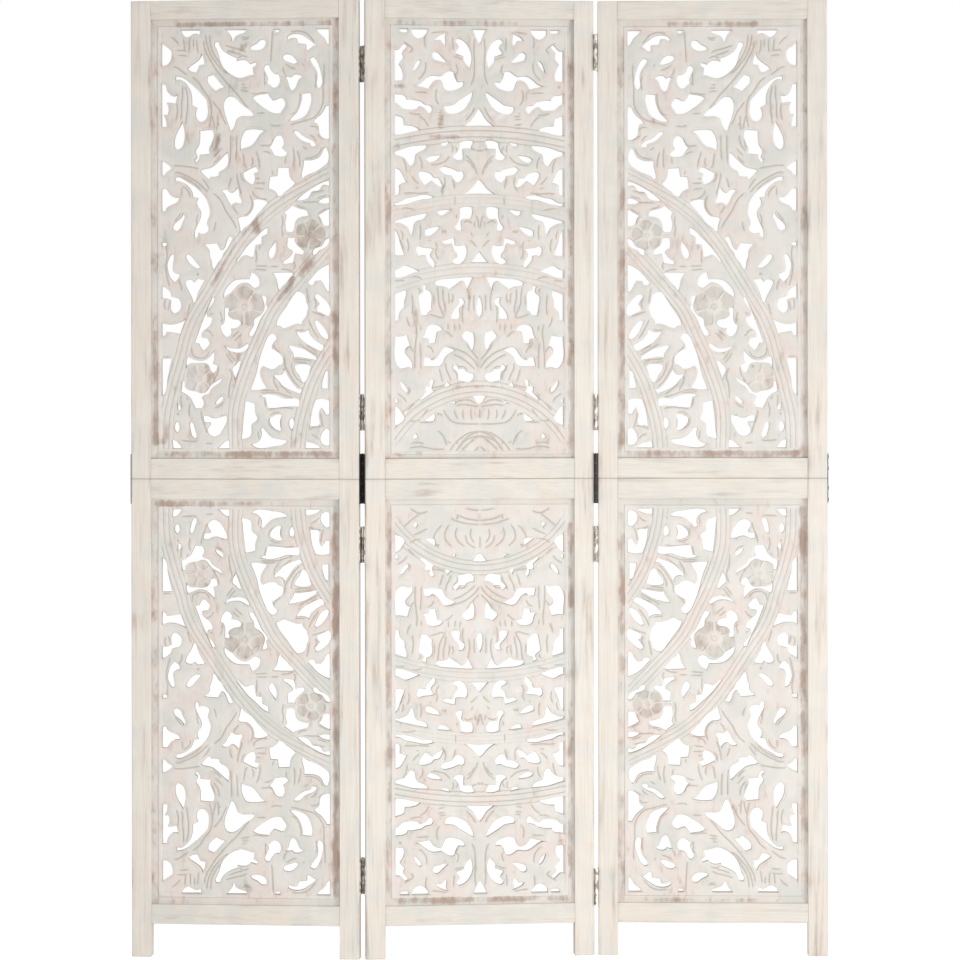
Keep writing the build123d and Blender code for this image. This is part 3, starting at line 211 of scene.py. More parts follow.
# Strokes of the half flowers inside the ring
RING_CUTS = {
    "upper": [
        [(14, 25.5), (20, 25), (26, 26)], [(26, 28), (30, 33), (33, 38)], [(24, 23.5), (39, 24)],
        [(48, 37), (51, 31), (55.5, 25.5), (61, 23), (72, 22), (84.5, 22)],
        [(42, 33), (46, 31.5), (48, 29)], [(60, 40), (68, 41.5), (76, 40.5), (84.5, 39.5)],
        [(60, 43), (65, 45.5), (72, 46), (77, 44.5), (81, 42)], [(59, 37), (60, 32), (63, 26)],
        [(68, 37), (67.5, 31), (69, 26)], [(76, 38), (75.5, 32), (77, 25)], [(84.5, 38), (84.5, 27)],
        [(54, -6), (61, 4), (73, 12.5), (86, 14), (98, 8), (107, -5)],
        [(60, -6), (66, 2), (75, 8), (85, 9.5), (95, 4)], [(66, -5), (74, 3), (80, 6)],
        [(78, -6), (84.5, 0)], [(57, 2), (52, 5)], [(42, 16), (48, 10), (52, 0)],
        [(14, -2), (26, -0.5), (38, -3), (50, -3)], [(16, 3), (24, 3.5), (30, 2)],
    ],
    "lower": [
        [(8, 12), (16, 5), (25, -1)], [(14, -6), (24, -1), (33, -3)],
        [(54.5, 3.5), (70, 8), (84.5, 9.5)], [(60, 0), (72, 4), (84.5, 5.5)],
        [(47, 9.5), (41, 17), (38.5, 26), (44, 36)], [(54, 9), (50, 17), (50, 26), (57, 34)],
        [(70, 20), (72, 29), (80.5, 36)], [(84.5, 21), (84.5, 36)],
        [(62, 12), (60, 20), (63, 28), (70, 34)], [(76, 13), (75, 22), (79, 30)],
        [(18, 21), (26, 17), (33, 13)], [(14, 30), (20, 26), (27, 25)],
        [(64, -7), (76, -4), (84.5, -3.5)],
    ],
}
CENTRE_PITS = [(5, 359, 2.2), (43, 32, 2.0), (62, 3, 1.6), (50, 214, 2.0), (83, 295, 2.0),
               (57, 145, 1.8), (31, 359, 1.4)]
CENTRE_HOLLOWS = [
    (62, 327, 6, 4.2, -20), (70.5, 331, 4, 2.4, 40), (77, 268, 5.5, 3.2, 25), (47, 258, 5.5, 3, 70),
    (58.5, 264, 5, 2.2, 80), (59, 189, 6, 4, 60), (78, 126, 3, 3, 0), (48, 309.5, 10, 1.8, 0),
    (68, 376, 8, 5, 70), (44, 193, 7, 5, 70),
]


def catmull_rom(points, step):
    """A smooth line through points, as points about a step apart."""
    held = [points[0], *points, points[-1]]
    line = []
    for before, start, end, after in zip(held, held[1:], held[2:], held[3:]):
        before, start, end, after = (np.array(p, float) for p in (before, start, end, after))
        count = max(1, round(np.linalg.norm(end - start) / step))
        for t in np.arange(count) / count:
            line.append(0.5 * (2 * start + (end - before) * t
                               + (2 * before - 5 * start + 4 * end - after) * t ** 2
                               + (3 * start - before - 3 * end + after) * t ** 3))
    return np.array(line + [np.array(points[-1], float)])


def off_line(points, line):
    """Distance of each point from a line, signed to its left, and how far along the line it lies."""
    best = np.full(len(points), 1e9)
    signed = np.zeros(len(points))
    along = np.zeros(len(points))
    run = 0.0
    for start, end in zip(line, line[1:]):
        way = end - start
        length = math.hypot(*way)
        offset = points - start
        share = np.clip(offset @ way / length ** 2, 0, 1)
        gap = offset - share[:, None] * way
        distance = np.hypot(gap[:, 0], gap[:, 1])
        nearer = distance < best
        side = np.sign(way[0] * offset[:, 1] - way[1] * offset[:, 0])
        best = np.where(nearer, distance, best)
        signed = np.where(nearer, distance * side, signed)
        along = np.where(nearer, run + share * length, along)
        run += length
    return signed, along


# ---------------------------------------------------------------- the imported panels
class Leaf:
    """Middle of a leaf and its directions across and out of the front, read from its packed panel."""

    def __init__(self, name):
        node = f"{name}_upper_jali_panel"
        low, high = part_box(node)
        face = max(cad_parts[node].data.polygons, key=lambda f: f.area)
        out = Vector(face.normal)
        self.out = -out if out.y > 0 else out
        self.across = Vector((-self.out.y, self.out.x, 0))
        self.middle = Vector(((low.x + high.x) / 2, (low.y + high.y) / 2, 0))

    def local(self, points):
        """Row-frame points in metres as points across, up and out of the leaf in millimetres."""
        offset = points - np.array(self.middle)
        axes = np.array((self.across, (0, 0, 1), self.out))
        return offset @ axes.T / MM

    def world(self, points):
        """Points across, up and out of the leaf in millimetres as row-frame points in metres."""
        axes = np.array((self.across, (0, 0, 1), self.out))
        return np.array(self.middle) + points @ axes * MM

    def mesh_points(self, node):
        """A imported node's points across, up and out of the leaf in millimetres."""
        return self.local(mesh_arrays(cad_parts[node].data)[0])


def mesh_arrays(mesh):
    """A mesh's points and triangles."""
    points = np.empty(len(mesh.vertices) * 3, np.float32)
    mesh.vertices.foreach_get("co", points)
    mesh.calc_loop_triangles()
    triangles = np.empty(len(mesh.loop_triangles) * 3, np.int32)
    mesh.loop_triangles.foreach_get("vertices", triangles)
    return points.reshape(-1, 3).astype(float), triangles.reshape(-1, 3)


def front_face(leaf, node):
    """Front face of a packed panel: its points across and up, its triangles, and its height out."""
    points, triangles = mesh_arrays(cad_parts[node].data)
    points = leaf.local(points)
    out = points[:, 2].max()
    front = triangles[(points[triangles][:, :, 2] > out - 0.01).all(1)]
    flat, index = np.unique(np.round(points[:, :2], 2), axis=0, return_inverse=True)
    front = index.reshape(-1)[front]
    return flat, front, out


def outlines(triangles):
    """Closed rims of a set of triangles, each as a list of point numbers."""
    edges = {(a, b) for t in triangles for a, b in ((t[0], t[1]), (t[1], t[2]), (t[2], t[0]))}
    following = {a: b for a, b in edges if (b, a) not in edges}
    rims = []
    while following:
        start, at = following.popitem()
        rim = [start]
        while at != start:
            rim.append(at)
            at = following.pop(at)
        rims.append(rim)
    return rims


def even_rim(rim, spacing, corner=math.radians(28)):
    """A rim with points a spacing apart, smooth between its corners."""
    ahead = np.roll(rim, -1, 0) - rim
    heading = np.arctan2(ahead[:, 1], ahead[:, 0])
    turn = np.abs((heading - np.roll(heading, 1) + math.pi) % (2 * math.pi) - math.pi)
    corners = np.nonzero(turn > corner)[0]
    if len(corners) == 0:
        corners = np.array([0])
    pieces = []
    for k, first in enumerate(corners):
        last = corners[(k + 1) % len(corners)]
        if last <= first:
            last += len(rim)
        run = rim[np.arange(first, last + 1) % len(rim)]
        pieces.append(even_line(run, spacing)[:-1])
    return np.concatenate(pieces)


def even_line(run, spacing):
    """A line's points set an even spacing apart, on a smooth curve through them."""
    if len(run) > 2:
        run = catmull_rom(run, FINE_STEP)
    steps = np.hypot(*np.diff(run, axis=0).T)
    reach = np.concatenate(([0], np.cumsum(steps)))
    count = max(1, round(reach[-1] / spacing))
    at = np.linspace(0, reach[-1], count + 1)
    return np.stack([np.interp(at, reach, run[:, k]) for k in (0, 1)], 1)


# ---------------------------------------------------------------- carving the panels
# Millimetres, unless a line says otherwise
EDGE_RINGS = (0.45, 1.1, 2.1, 3.7)  # rings of points inside each pierced edge
RING_CLEARANCE = 0.9  # least distance of a ring's point from the edges, over the ring's
RIM_CLEARANCE = 0.8  # least distance of other points from the panel's own rim
FINE_STEP, STROKE_STEP, BAND_STEP = 0.4, 2.5, 4.0  # between the points of a smooth curve
ARC_POINTS = 40
RIM_SPACING = 1.6
FIELD_SPACING = 2.3
BACK_SPACING = 5.0
GROOVE_SPACING = 1.7
RING_GAPS = (0.4, 0.7, 1.0, 1.2)  # least distance of each ring's points from the others
GROOVE_GAP, FIELD_GAP, BACK_RING_GAP, BACK_GAP = 0.85, 1.5, 0.5, 2.5
GROOVE_CLEARANCE, FIELD_CLEARANCE, BACK_CLEARANCE = 0.8, 1.0, 2.0  # from the pierced edges
GROOVE_SIDES = (-1.4, 0, 1.4)  # rows of points along a band's groove, across it
STROKE_SIDES = (-1.2, 0, 1.2)
RIB_SIDES = (-2.6, -0.9, 0.9, 2.6)
EDGE_ROUND = 1.5  # radius that the knife leaves on a pierced edge
BACK_ROUND = 0.8  # width of the eased edge on the back
BACK_RIM_DROP = 0.6 * BACK_ROUND
EDGE_DIRT_AND_SHADE = (0.35, 1.2)  # dirt and painted shade at a pierced edge: how dark, and how far in
NO_EDGE = 20.0  # distance that stands for out of the pierced edges' reach
GROUND = (1.2, 0.4)  # depth of the ground at a pierced edge, and away from it
GROUND_RISE = (0.5, 6.0)
UNDULATION = 0.6  # how far the hand-carved ground rises and falls
UNDULATION_SIZE = 7
CONTOUR_DEPTH = 0.5  # groove that follows the pierced edges here and there
CONTOUR_HALF_WIDTH = 1.4
CONTOUR_STRETCH = 11  # size of the stretches with and without that groove
CONTOUR_FADE = (-0.2, 0.4)
STROKE_DEPTH = 1.3
STROKE_HALF_WIDTH = 1.9
STROKE_TIP = 0.6  # half width at a stroke's ends
STROKE_REACH = 3.0  # how far round a stroke its depth is worked out
STROKE_TAPER = (-2.5, 5.0)  # where along a stroke it starts and ends to widen
BAND_LINE = 0.42  # places of a band's two lines, over its half width
BAND_LINE_HALF_WIDTH = 1.6
BAND_CUT = 1.1
BAND_SHOULDER = (0.9, 0.8)  # how far outside a band its level top ends, and its soft edge
BAND_SIDE = 1.1  # distance from a band's edge to the groove along it
BAND_SIDE_HALF_WIDTH = 1.3
BAND_SIDE_CUT = 0.9
HOLLOW_DEPTH = 1.8
HOLLOW_FULLNESS = 0.8  # exponent under 1 that makes a hollow fuller than a bowl
PIT_DEPTH = 1.8
FIELD_EDGE = (0.4, 1.4)  # how far outside the pierced field the carving fades
CHANNEL = (5.6, 7.2, 19.0, 21.0)  # how far outside it the shallow channel's sides start and end
CHANNEL_DEPTH = 1.3
CHANNEL_LINE = (0.35, 1.3)  # depth and half width of the line at the channel's inner side
# dirt and painted shade in the shallow channel beside the frame
CHANNEL_DIRT_AND_SHADE = 0.3
HALF_PETAL = 36  # half the angle of a petal, in degrees
RIB_REACH = (0.3, 1.05)  # where the light rib beside a petal starts and ends, over the radius
PETAL_SIDE = (0.4, 2.8)  # how far from a rib a petal's scoop starts and is full
PETAL_END = 1.8
PETAL_FOOT = (0.2, 0.55)  # where a petal's scoop starts and is full, over the radius
PETAL_TIP = (0.86, 0.2)  # how far a petal reaches at its sides and how much further in its middle
SCOOP_DEPTH = 2.2
PETAL_WEAR = 0.35
# painted shade, with some dirt, in the scooped petals and the eye's ring
PETAL_SHADE = 0.62
EYE_SHARE = 0.13  # radius of the ring round a flower's eye, over the flower's
EYE_RING_HALF_WIDTH = 1.3


class Chart:
    """Carving of an upper panel in millimetres about its middle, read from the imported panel."""

    def __init__(self, kind, leaf_name):
        leaf = LEAF[leaf_name]
        self.kind = kind
        flat, triangles, self.out = front_face(leaf, f"{leaf_name}_upper_jali_panel")
        rims = sorted(outlines(triangles), key=lambda rim: -np.ptp(flat[rim][:, 0]))
        self.rims = [even_rim(flat[rim], RIM_SPACING) for rim in rims]
        low = np.min([rim.min(0) for rim in self.rims[1:]], 0)
        high = np.max([rim.max(0) for rim in self.rims[1:]], 0)
        self.half_width = min(-low[0], high[0])
        unit = (high[1] - low[1]) / (CHART_HEIGHT - CHART_FOOT[kind])
        self.half_height = CHART_HEIGHT / 2 * unit
        self.middle = high[1] - self.half_height
        self.foot = low[1] - self.middle
        shift = np.array((0, self.middle))
        self.rims = [rim - shift for rim in self.rims]
        self.box = self.rims[0].min(0), self.rims[0].max(0)
        self.face = BVHTree.FromPolygons([(*p, 0) for p in flat - shift], triangles.tolist())
        self.scale = np.array((2 * self.half_width / CHART_WIDTHS[kind], unit))
        ribbon, quads = [], []
        for rim in self.rims[1:]:
            start, count = len(ribbon), len(rim)
            ribbon += [(*p, z) for p in rim for z in (-1, 1)]
            for k in range(count):
                a, b = start + 2 * k, start + 2 * ((k + 1) % count)
                quads.append((a, b, b + 1, a + 1))
        self.edges = BVHTree.FromPolygons(ribbon, quads)

    def place(self, units):
        """Chart units as millimetres about the panel's middle."""
        units = np.asarray(units, float)
        return (units - np.array((CHART_WIDTHS[self.kind], CHART_HEIGHT)) / 2) * self.scale

    def inside(self, points):
        """Which points lie on wood."""
        return np.array([self.face.ray_cast((x, y, 1), (0, 0, -1))[0] is not None for x, y in points])

    def edge_distance(self, points):
        """Distance of each point from the nearest pierced edge."""
        return np.array([self.edges.find_nearest((x, y, 0))[3] for x, y in points])

    def clear(self, points, distance):
        """The points that lie further than a distance from every pierced edge."""
        return points[self.edge_distance(points) > distance]

    def ring(self, distance):
        """Points a distance inside every pierced edge."""
        points = np.concatenate([inset(rim, distance) for rim in self.rims[1:]])
        return self.clear(points, RING_CLEARANCE * distance)

    def spread(self, groups):
        """Points on the wood, thinned to each group's gap and clear of the rims."""
        rim_points = np.concatenate(self.rims)
        kept = thin_out([(rim_points, 0), *groups])[len(rim_points):]
        kept = kept[self.inside(kept)]
        low, high = self.box
        return kept[np.minimum(kept - low, high - kept).min(1) > RIM_CLEARANCE]


def inset(rim, distance):
    """A rim's points moved off the rim into the wood, which lies to its left."""
    ahead = np.roll(rim, -1, 0) - rim
    ahead /= np.hypot(*ahead.T)[:, None]
    mean = ahead + np.roll(ahead, 1, 0)
    mean /= np.maximum(np.hypot(*mean.T), 1e-6)[:, None]
    return rim + distance * np.stack((-mean[:, 1], mean[:, 0]), 1)


def thin_out(groups):
    """Points of all groups in turn, each kept only if no kept one lies within its group's gap."""
    cell = max(gap for _, gap in groups)
    kept, cells = [], {}
    for points, gap in groups:
        for x, y in points:
            column, row = math.floor(x / cell), math.floor(y / cell)
            near = (p for i in (column - 1, column, column + 1) for j in (row - 1, row, row + 1)
                    for p in cells.get((i, j), ()))
            if gap and any((x - p[0]) ** 2 + (y - p[1]) ** 2 < gap * gap for p in near):
                continue
            cells.setdefault((column, row), []).append((x, y))
            kept.append((x, y))
    return np.array(kept)


def hexagons(low, high, spacing):
    """A grid of points in a box, each at one distance from its six neighbours."""
    rows = np.arange(low[1], high[1], spacing * math.sqrt(0.75))
    columns = np.arange(low[0], high[0], spacing)
    x, y = np.meshgrid(columns, rows)
    x = x + (np.arange(len(rows)) % 2)[:, None] * spacing / 2
    return np.stack((x.ravel(), y.ravel()), 1)


def triangulate(rims, points):
    """Triangles of a face with holes over its rims' points and more points inside."""
    corners = np.concatenate([*rims, points])
    edges, start = [], 0
    for rim in rims:
        count = len(rim)
        edges += [(start + k, start + (k + 1) % count) for k in range(count)]
        start += count
    made = delaunay_2d_cdt([Vector(p) for p in corners], edges, [], 1, 1e-5)
    if len(made[0]) != len(corners):
        raise ValueError("two points of a face fell together")
    triangles = np.array(made[2])
    rim_of = np.full(len(corners), -1)
    rim_of[:start] = np.repeat(np.arange(len(rims)), [len(rim) for rim in rims])
    own = rim_of[triangles]
    on_hole = (own[:, 0] > 0) & (own[:, 0] == own[:, 1]) & (own[:, 1] == own[:, 2])
    a, b, c = (corners[np.sort(triangles, 1)[:, k]] for k in range(3))
    turn = (b[:, 0] - a[:, 0]) * (c[:, 1] - a[:, 1]) - (b[:, 1] - a[:, 1]) * (c[:, 0] - a[:, 0])
    return triangles[~(on_hole & (turn < 0))]


def smooth_step(value, low, high):
    """0 below low, 1 above high and a soft rise between."""
    t = np.clip((value - low) / (high - low), 0, 1)
    return t * t * (3 - 2 * t)


def notch(distance, half_width):
    """Depth share of a V groove at a distance from its line."""
    return np.clip(1 - np.abs(distance) / half_width, 0, 1)


def unevenness(points, size, seed):
    """Smooth random values from -1 to 1 over points, of about a size."""
    random_numbers = np.random.default_rng(seed)
    value = np.zeros(len(points))
    for _ in range(9):
        wave = random_numbers.normal(size=3)[:points.shape[1]] / size
        value += np.sin(points @ wave + random_numbers.uniform(0, 2 * math.pi))
    return value / 4


def band_lines(chart):
    """Middle lines and half widths of a chart's bands in millimetres, and how deep their lines are."""
    if chart.kind == "side":
        half_width = BAND_HALF_WIDTH * chart.scale[0]
        return [(catmull_rom(chart.place(band), BAND_STEP), half_width, SIDE_LINING)
                for band in SIDE_BANDS]
    lines = []
    middle = CHART_WIDTHS["centre"] / 2
    for height, radius, half_width, share in CENTRE_ARCS:
        reach = math.asin(min(1, (middle + 2) / radius))
        angles = np.linspace(reach, -reach, ARC_POINTS)
        arc = np.stack((middle - radius * np.sin(angles), height - radius + radius * np.cos(angles)), 1)
        lines.append((chart.place(arc), half_width * chart.scale[1], share))
    return lines


def bowl(points, middle, radii, turn):
    """Share of a hollow's depth at each point: 1 in its middle and 0 from its rim outwards."""
    cos, sin = math.cos(math.radians(turn)), math.sin(math.radians(turn))
    x, y = (points - middle).T
    away = ((x * cos + y * sin) / radii[0]) ** 2 + ((y * cos - x * sin) / radii[1]) ** 2
    return np.clip(1 - away, 0, 1)


def carved_lines(chart, half):
    """The carver's strokes, and the middles and sizes of pits, hollows and flowers, in millimetres."""
    side = chart.kind == "side"
    cuts, pits, hollows = SIDE_CUTS, SIDE_PITS, SIDE_HOLLOWS
    if not side:
        width = CHART_WIDTHS["centre"]
        cuts = CENTRE_CUTS + RING_CUTS[half]
        cuts = cuts + [[(width - u, v) for u, v in cut] for cut in cuts]
        pits = CENTRE_PITS + [(width - u, v, r) for u, v, r in CENTRE_PITS]
        hollows = CENTRE_HOLLOWS + [(width - u, v, a, b, 180 - turn)
                                    for u, v, a, b, turn in CENTRE_HOLLOWS]
    size = chart.scale.mean()
    strokes = [catmull_rom(chart.place(cut), STROKE_STEP) for cut in cuts]
    pits = [(chart.place((u, v)), r * size) for u, v, r in pits]
    hollows = [(chart.place((u, v)), (a * size, b * size), turn) for u, v, a, b, turn in hollows]
    flowers = [(chart.place((u, v)), r * size, turn, share)
               for u, v, r, turn, share in SIDE_FLOWERS if side]
    return strokes, pits, hollows, flowers


def stroke_depth(strokes, points):
    """Depth of the strokes at each point. They narrow towards both ends."""
    depth = np.zeros(len(points))
    for stroke in strokes:
        low, high = stroke.min(0) - STROKE_REACH, stroke.max(0) + STROKE_REACH
        near = ((points > low) & (points < high)).all(1).nonzero()[0]
        if len(near):
            across, along = off_line(points[near], stroke)
            length = np.hypot(*np.diff(stroke, axis=0).T).sum()
            taper = smooth_step(np.minimum(along, length - along), *STROKE_TAPER)
            half_width = STROKE_TIP + (STROKE_HALF_WIDTH - STROKE_TIP) * taper
            cut = STROKE_DEPTH * taper * notch(across, half_width)
            depth[near] = np.maximum(depth[near], cut)
    return depth


def ribs(flower):
    """The five light ribs between a flower's petals, each as a line outwards."""
    middle, radius, turn, _ = flower
    for angle in range(HALF_PETAL, 360, 2 * HALF_PETAL):
        along = math.radians(turn + angle)
        out = np.array((math.cos(along), math.sin(along)))
        yield np.array([middle + share * radius * out for share in RIB_REACH])


def flower_depth(flowers, points):
    """Depth of five scooped petals round an eye, their painted shade and dirt, and how far their paint
    is rubbed.
    """
    depth = np.zeros(len(points))
    shade = np.zeros(len(points))
    for middle, radius, turn, share in flowers:
        x, y = (points - middle).T
        away = np.hypot(x, y)
        angle = (np.degrees(np.arctan2(y, x)) - turn + HALF_PETAL) % (2 * HALF_PETAL) - HALF_PETAL
        rib = away * np.sin(np.radians(HALF_PETAL - np.abs(angle)))
        reach, more = PETAL_TIP
        tip = radius * (reach + more * np.cos(np.radians(90 / HALF_PETAL * angle)))
        petal = smooth_step(rib, *PETAL_SIDE) * smooth_step(tip - away, 0, PETAL_END)
        petal *= smooth_step(away, PETAL_FOOT[0] * radius, PETAL_FOOT[1] * radius)
        ring = notch(away - EYE_SHARE * radius, EYE_RING_HALF_WIDTH)
        depth = np.maximum(depth, np.maximum(SCOOP_DEPTH * petal, ring))
        shade = np.maximum(shade, share * PETAL_SHADE * np.maximum(petal, ring))
    return depth, shade, PETAL_WEAR / PETAL_SHADE * shade


def border_reach(chart, points):
    """How far each point lies outside the carved field."""
    sideways = np.abs(points[:, 0]) - chart.half_width
    upwards = np.maximum(points[:, 1], -points[:, 1] - SEAM_RUN[chart.kind]) - chart.half_height
    return np.maximum(sideways, upwards)


def relief(chart, points, edge):
    """How far the front lies below its full height, how dark its dirt and painted shade are in the
    cuts, at the edges, in the petals and in the channel, and how bare it is rubbed.
    """
    strokes, pits, hollows, flowers = chart.lines
    ground = GROUND[0] + (GROUND[1] - GROUND[0]) * smooth_step(edge, *GROUND_RISE)
    outlined = smooth_step(unevenness(points, CONTOUR_STRETCH, seed=5), *CONTOUR_FADE)
    cut = CONTOUR_DEPTH * outlined * notch(edge - EDGE_RINGS[3], CONTOUR_HALF_WIDTH)
    shoulder, soft = BAND_SHOULDER
    for line, half_width, share in chart.bands:
        across, _ = off_line(points, line)
        on_band = smooth_step(half_width + shoulder - np.abs(across), 0, soft)
        ground = ground * (1 - on_band)
        cut = cut * (1 - on_band)
        for place in (-BAND_LINE, BAND_LINE):
            groove = notch(across - place * half_width, BAND_LINE_HALF_WIDTH)
            cut = np.maximum(cut, BAND_CUT * share * groove)
        beside_band = notch(np.abs(across) - half_width - BAND_SIDE, BAND_SIDE_HALF_WIDTH)
        cut = np.maximum(cut, BAND_SIDE_CUT * share * beside_band)
    hollow, shade, bare = flower_depth(flowers, points)
    cut = np.maximum(cut, stroke_depth(strokes, points))
    for middle, radii, turn in hollows:
        share = bowl(points, middle, radii, turn)
        hollow = np.maximum(hollow, HOLLOW_DEPTH * share ** HOLLOW_FULLNESS)
    for middle, radius in pits:
        away = np.hypot(*(points - middle).T)
        cut = np.maximum(cut, PIT_DEPTH * notch(away, radius))
    reach = border_reach(chart, points)
    inside = 1 - smooth_step(reach, *FIELD_EDGE)
    swell = UNDULATION * (0.5 + 0.5 * unevenness(points, UNDULATION_SIZE, seed=3).clip(-1, 1))
    channel = smooth_step(reach, *CHANNEL[:2]) - smooth_step(reach, *CHANNEL[2:])
    ground = (ground + swell) * inside + CHANNEL_DEPTH * channel
    cut = np.maximum(cut * inside, CHANNEL_LINE[0] * notch(reach - CHANNEL[1], CHANNEL_LINE[1]))
    inner = np.clip(EDGE_ROUND - edge, 0, EDGE_ROUND)
    rounding = EDGE_ROUND - np.sqrt(np.maximum(EDGE_ROUND ** 2 - inner ** 2, 0))
    # dirt and painted shade: darker in the cuts, at the pierced edges, in the petals and in the channel
    most, far = EDGE_DIRT_AND_SHADE
    dark = np.max([cut, most * smooth_step(far - edge, 0, far), shade, CHANNEL_DIRT_AND_SHADE * channel], 0)
    return ground + cut + hollow * inside + rounding, dark, bare * inside


def circle(middle, radius):
    """Points about a groove's spacing apart on a circle."""
    count = max(1, round(2 * math.pi * radius / GROOVE_SPACING))
    angles = np.arange(count) / count * 2 * math.pi
    return middle + radius * np.stack((np.cos(angles), np.sin(angles)), 1)


def beside(line, distances):
    """An open line's points an even spacing apart, moved to its left by each distance."""
    return [even_line(inset_line(line, distance), GROOVE_SPACING) for distance in distances]


def groove_points(chart):
    """Points along the bottoms and sides of all that is cut into a panel's front."""
    strokes, pits, _, flowers = chart.lines
    lines = []
    for line, half_width, _ in chart.bands:
        side = half_width + BAND_SIDE
        for place in (-BAND_LINE * half_width, BAND_LINE * half_width, side, -side):
            lines += beside(line, [place + more for more in GROOVE_SIDES])
    for stroke in strokes:
        lines += beside(stroke, STROKE_SIDES)
    for reach in (*FIELD_EDGE, *CHANNEL):
        x, high = chart.half_width + reach, chart.half_height + reach
        low = -high - SEAM_RUN[chart.kind]
        corners = np.array([(-x, low), (x, low), (x, high), (-x, high), (-x, low)])
        lines += [even_line(corners[k:k + 2], FIELD_SPACING) for k in range(4)]
    for middle, radius in pits:
        lines += [circle(middle, share * radius) for share in (0, 0.5, 1)]
    for flower in flowers:
        for rib in ribs(flower):
            lines += beside(rib, RIB_SIDES)
        lines += [circle(flower[0], share * EYE_SHARE * flower[1]) for share in (0, 0.7, 1, 1.3)]
    return np.concatenate(lines)


def carve(chart, half):
    """Front face of a carved panel: points, triangles, drop, darkness of dirt and painted shade, and
    bare wood.
    """
    chart.bands = band_lines(chart)
    chart.lines = carved_lines(chart, half)
    rings = [(chart.ring(distance), gap) for distance, gap in zip(EDGE_RINGS, RING_GAPS)]
    grooves = chart.clear(groove_points(chart), GROOVE_CLEARANCE)
    field = chart.clear(hexagons(*chart.box, FIELD_SPACING), FIELD_CLEARANCE)
    # the finest first
    kept = chart.spread([*rings[:2], (grooves, GROOVE_GAP), *rings[2:], (field, FIELD_GAP)])
    rim_points = np.concatenate(chart.rims)
    points = np.concatenate([rim_points, kept])
    edge = np.concatenate([np.zeros(len(rim_points)), chart.edge_distance(kept)])
    edge[:len(chart.rims[0])] = NO_EDGE
    return points, triangulate(chart.rims, kept), *relief(chart, points, edge)


def inset_line(line, distance):
    """An open line moved to its left by a distance."""
    ahead = np.gradient(line, axis=0)
    ahead /= np.hypot(*ahead.T)[:, None]
    return line + distance * np.stack((-ahead[:, 1], ahead[:, 0]), 1)


SHARP_ANGLE = math.radians(38)  # edges that turn more than this aren't shaded smooth


def make_mesh(name, points, triangles, attributes):
    """A mesh object from points in metres, with float attributes on its points."""
    mesh = bpy.data.meshes.new(name)
    mesh.vertices.add(len(points))
    mesh.vertices.foreach_set("co", points.astype(np.float32).ravel())
    mesh.loops.add(len(triangles) * 3)
    mesh.loops.foreach_set("vertex_index", triangles.astype(np.int32).ravel())
    mesh.polygons.add(len(triangles))
    mesh.polygons.foreach_set("loop_start", np.arange(0, len(triangles) * 3, 3, dtype=np.int32))
    mesh.update(calc_edges=True)
    for key, values in attributes.items():
        mesh.attributes.new(key, "FLOAT", "POINT").data.foreach_set("value", values.astype(np.float32))
    mesh.polygons.foreach_set("use_smooth", np.ones(len(triangles), bool))
    mesh.set_sharp_from_angle(angle=SHARP_ANGLE)
    piece = bpy.data.objects.new(name, mesh)
    bpy.context.scene.collection.objects.link(piece)
    return piece


def back_face(chart):
    """Back face of a carved panel: points inside its rims, and triangles."""
    field = chart.clear(hexagons(*chart.box, BACK_SPACING), BACK_CLEARANCE)
    kept = chart.spread([(chart.ring(BACK_ROUND), BACK_RING_GAP), (field, BACK_GAP)])
    return kept, triangulate(chart.rims, kept)


WALL_DIRT_AND_SHADE = 0.75  # how dark the pierced walls are with dirt and painted shade
BORDER_WEAR = 0.4
WEAR_FADE = 0.9  # how soft a rubbed strip is, over its half width
WEAR_SWING = (0.8, 0.22)  # its middle strength and how far the rubbing varies
WEAR_PATCH = 16
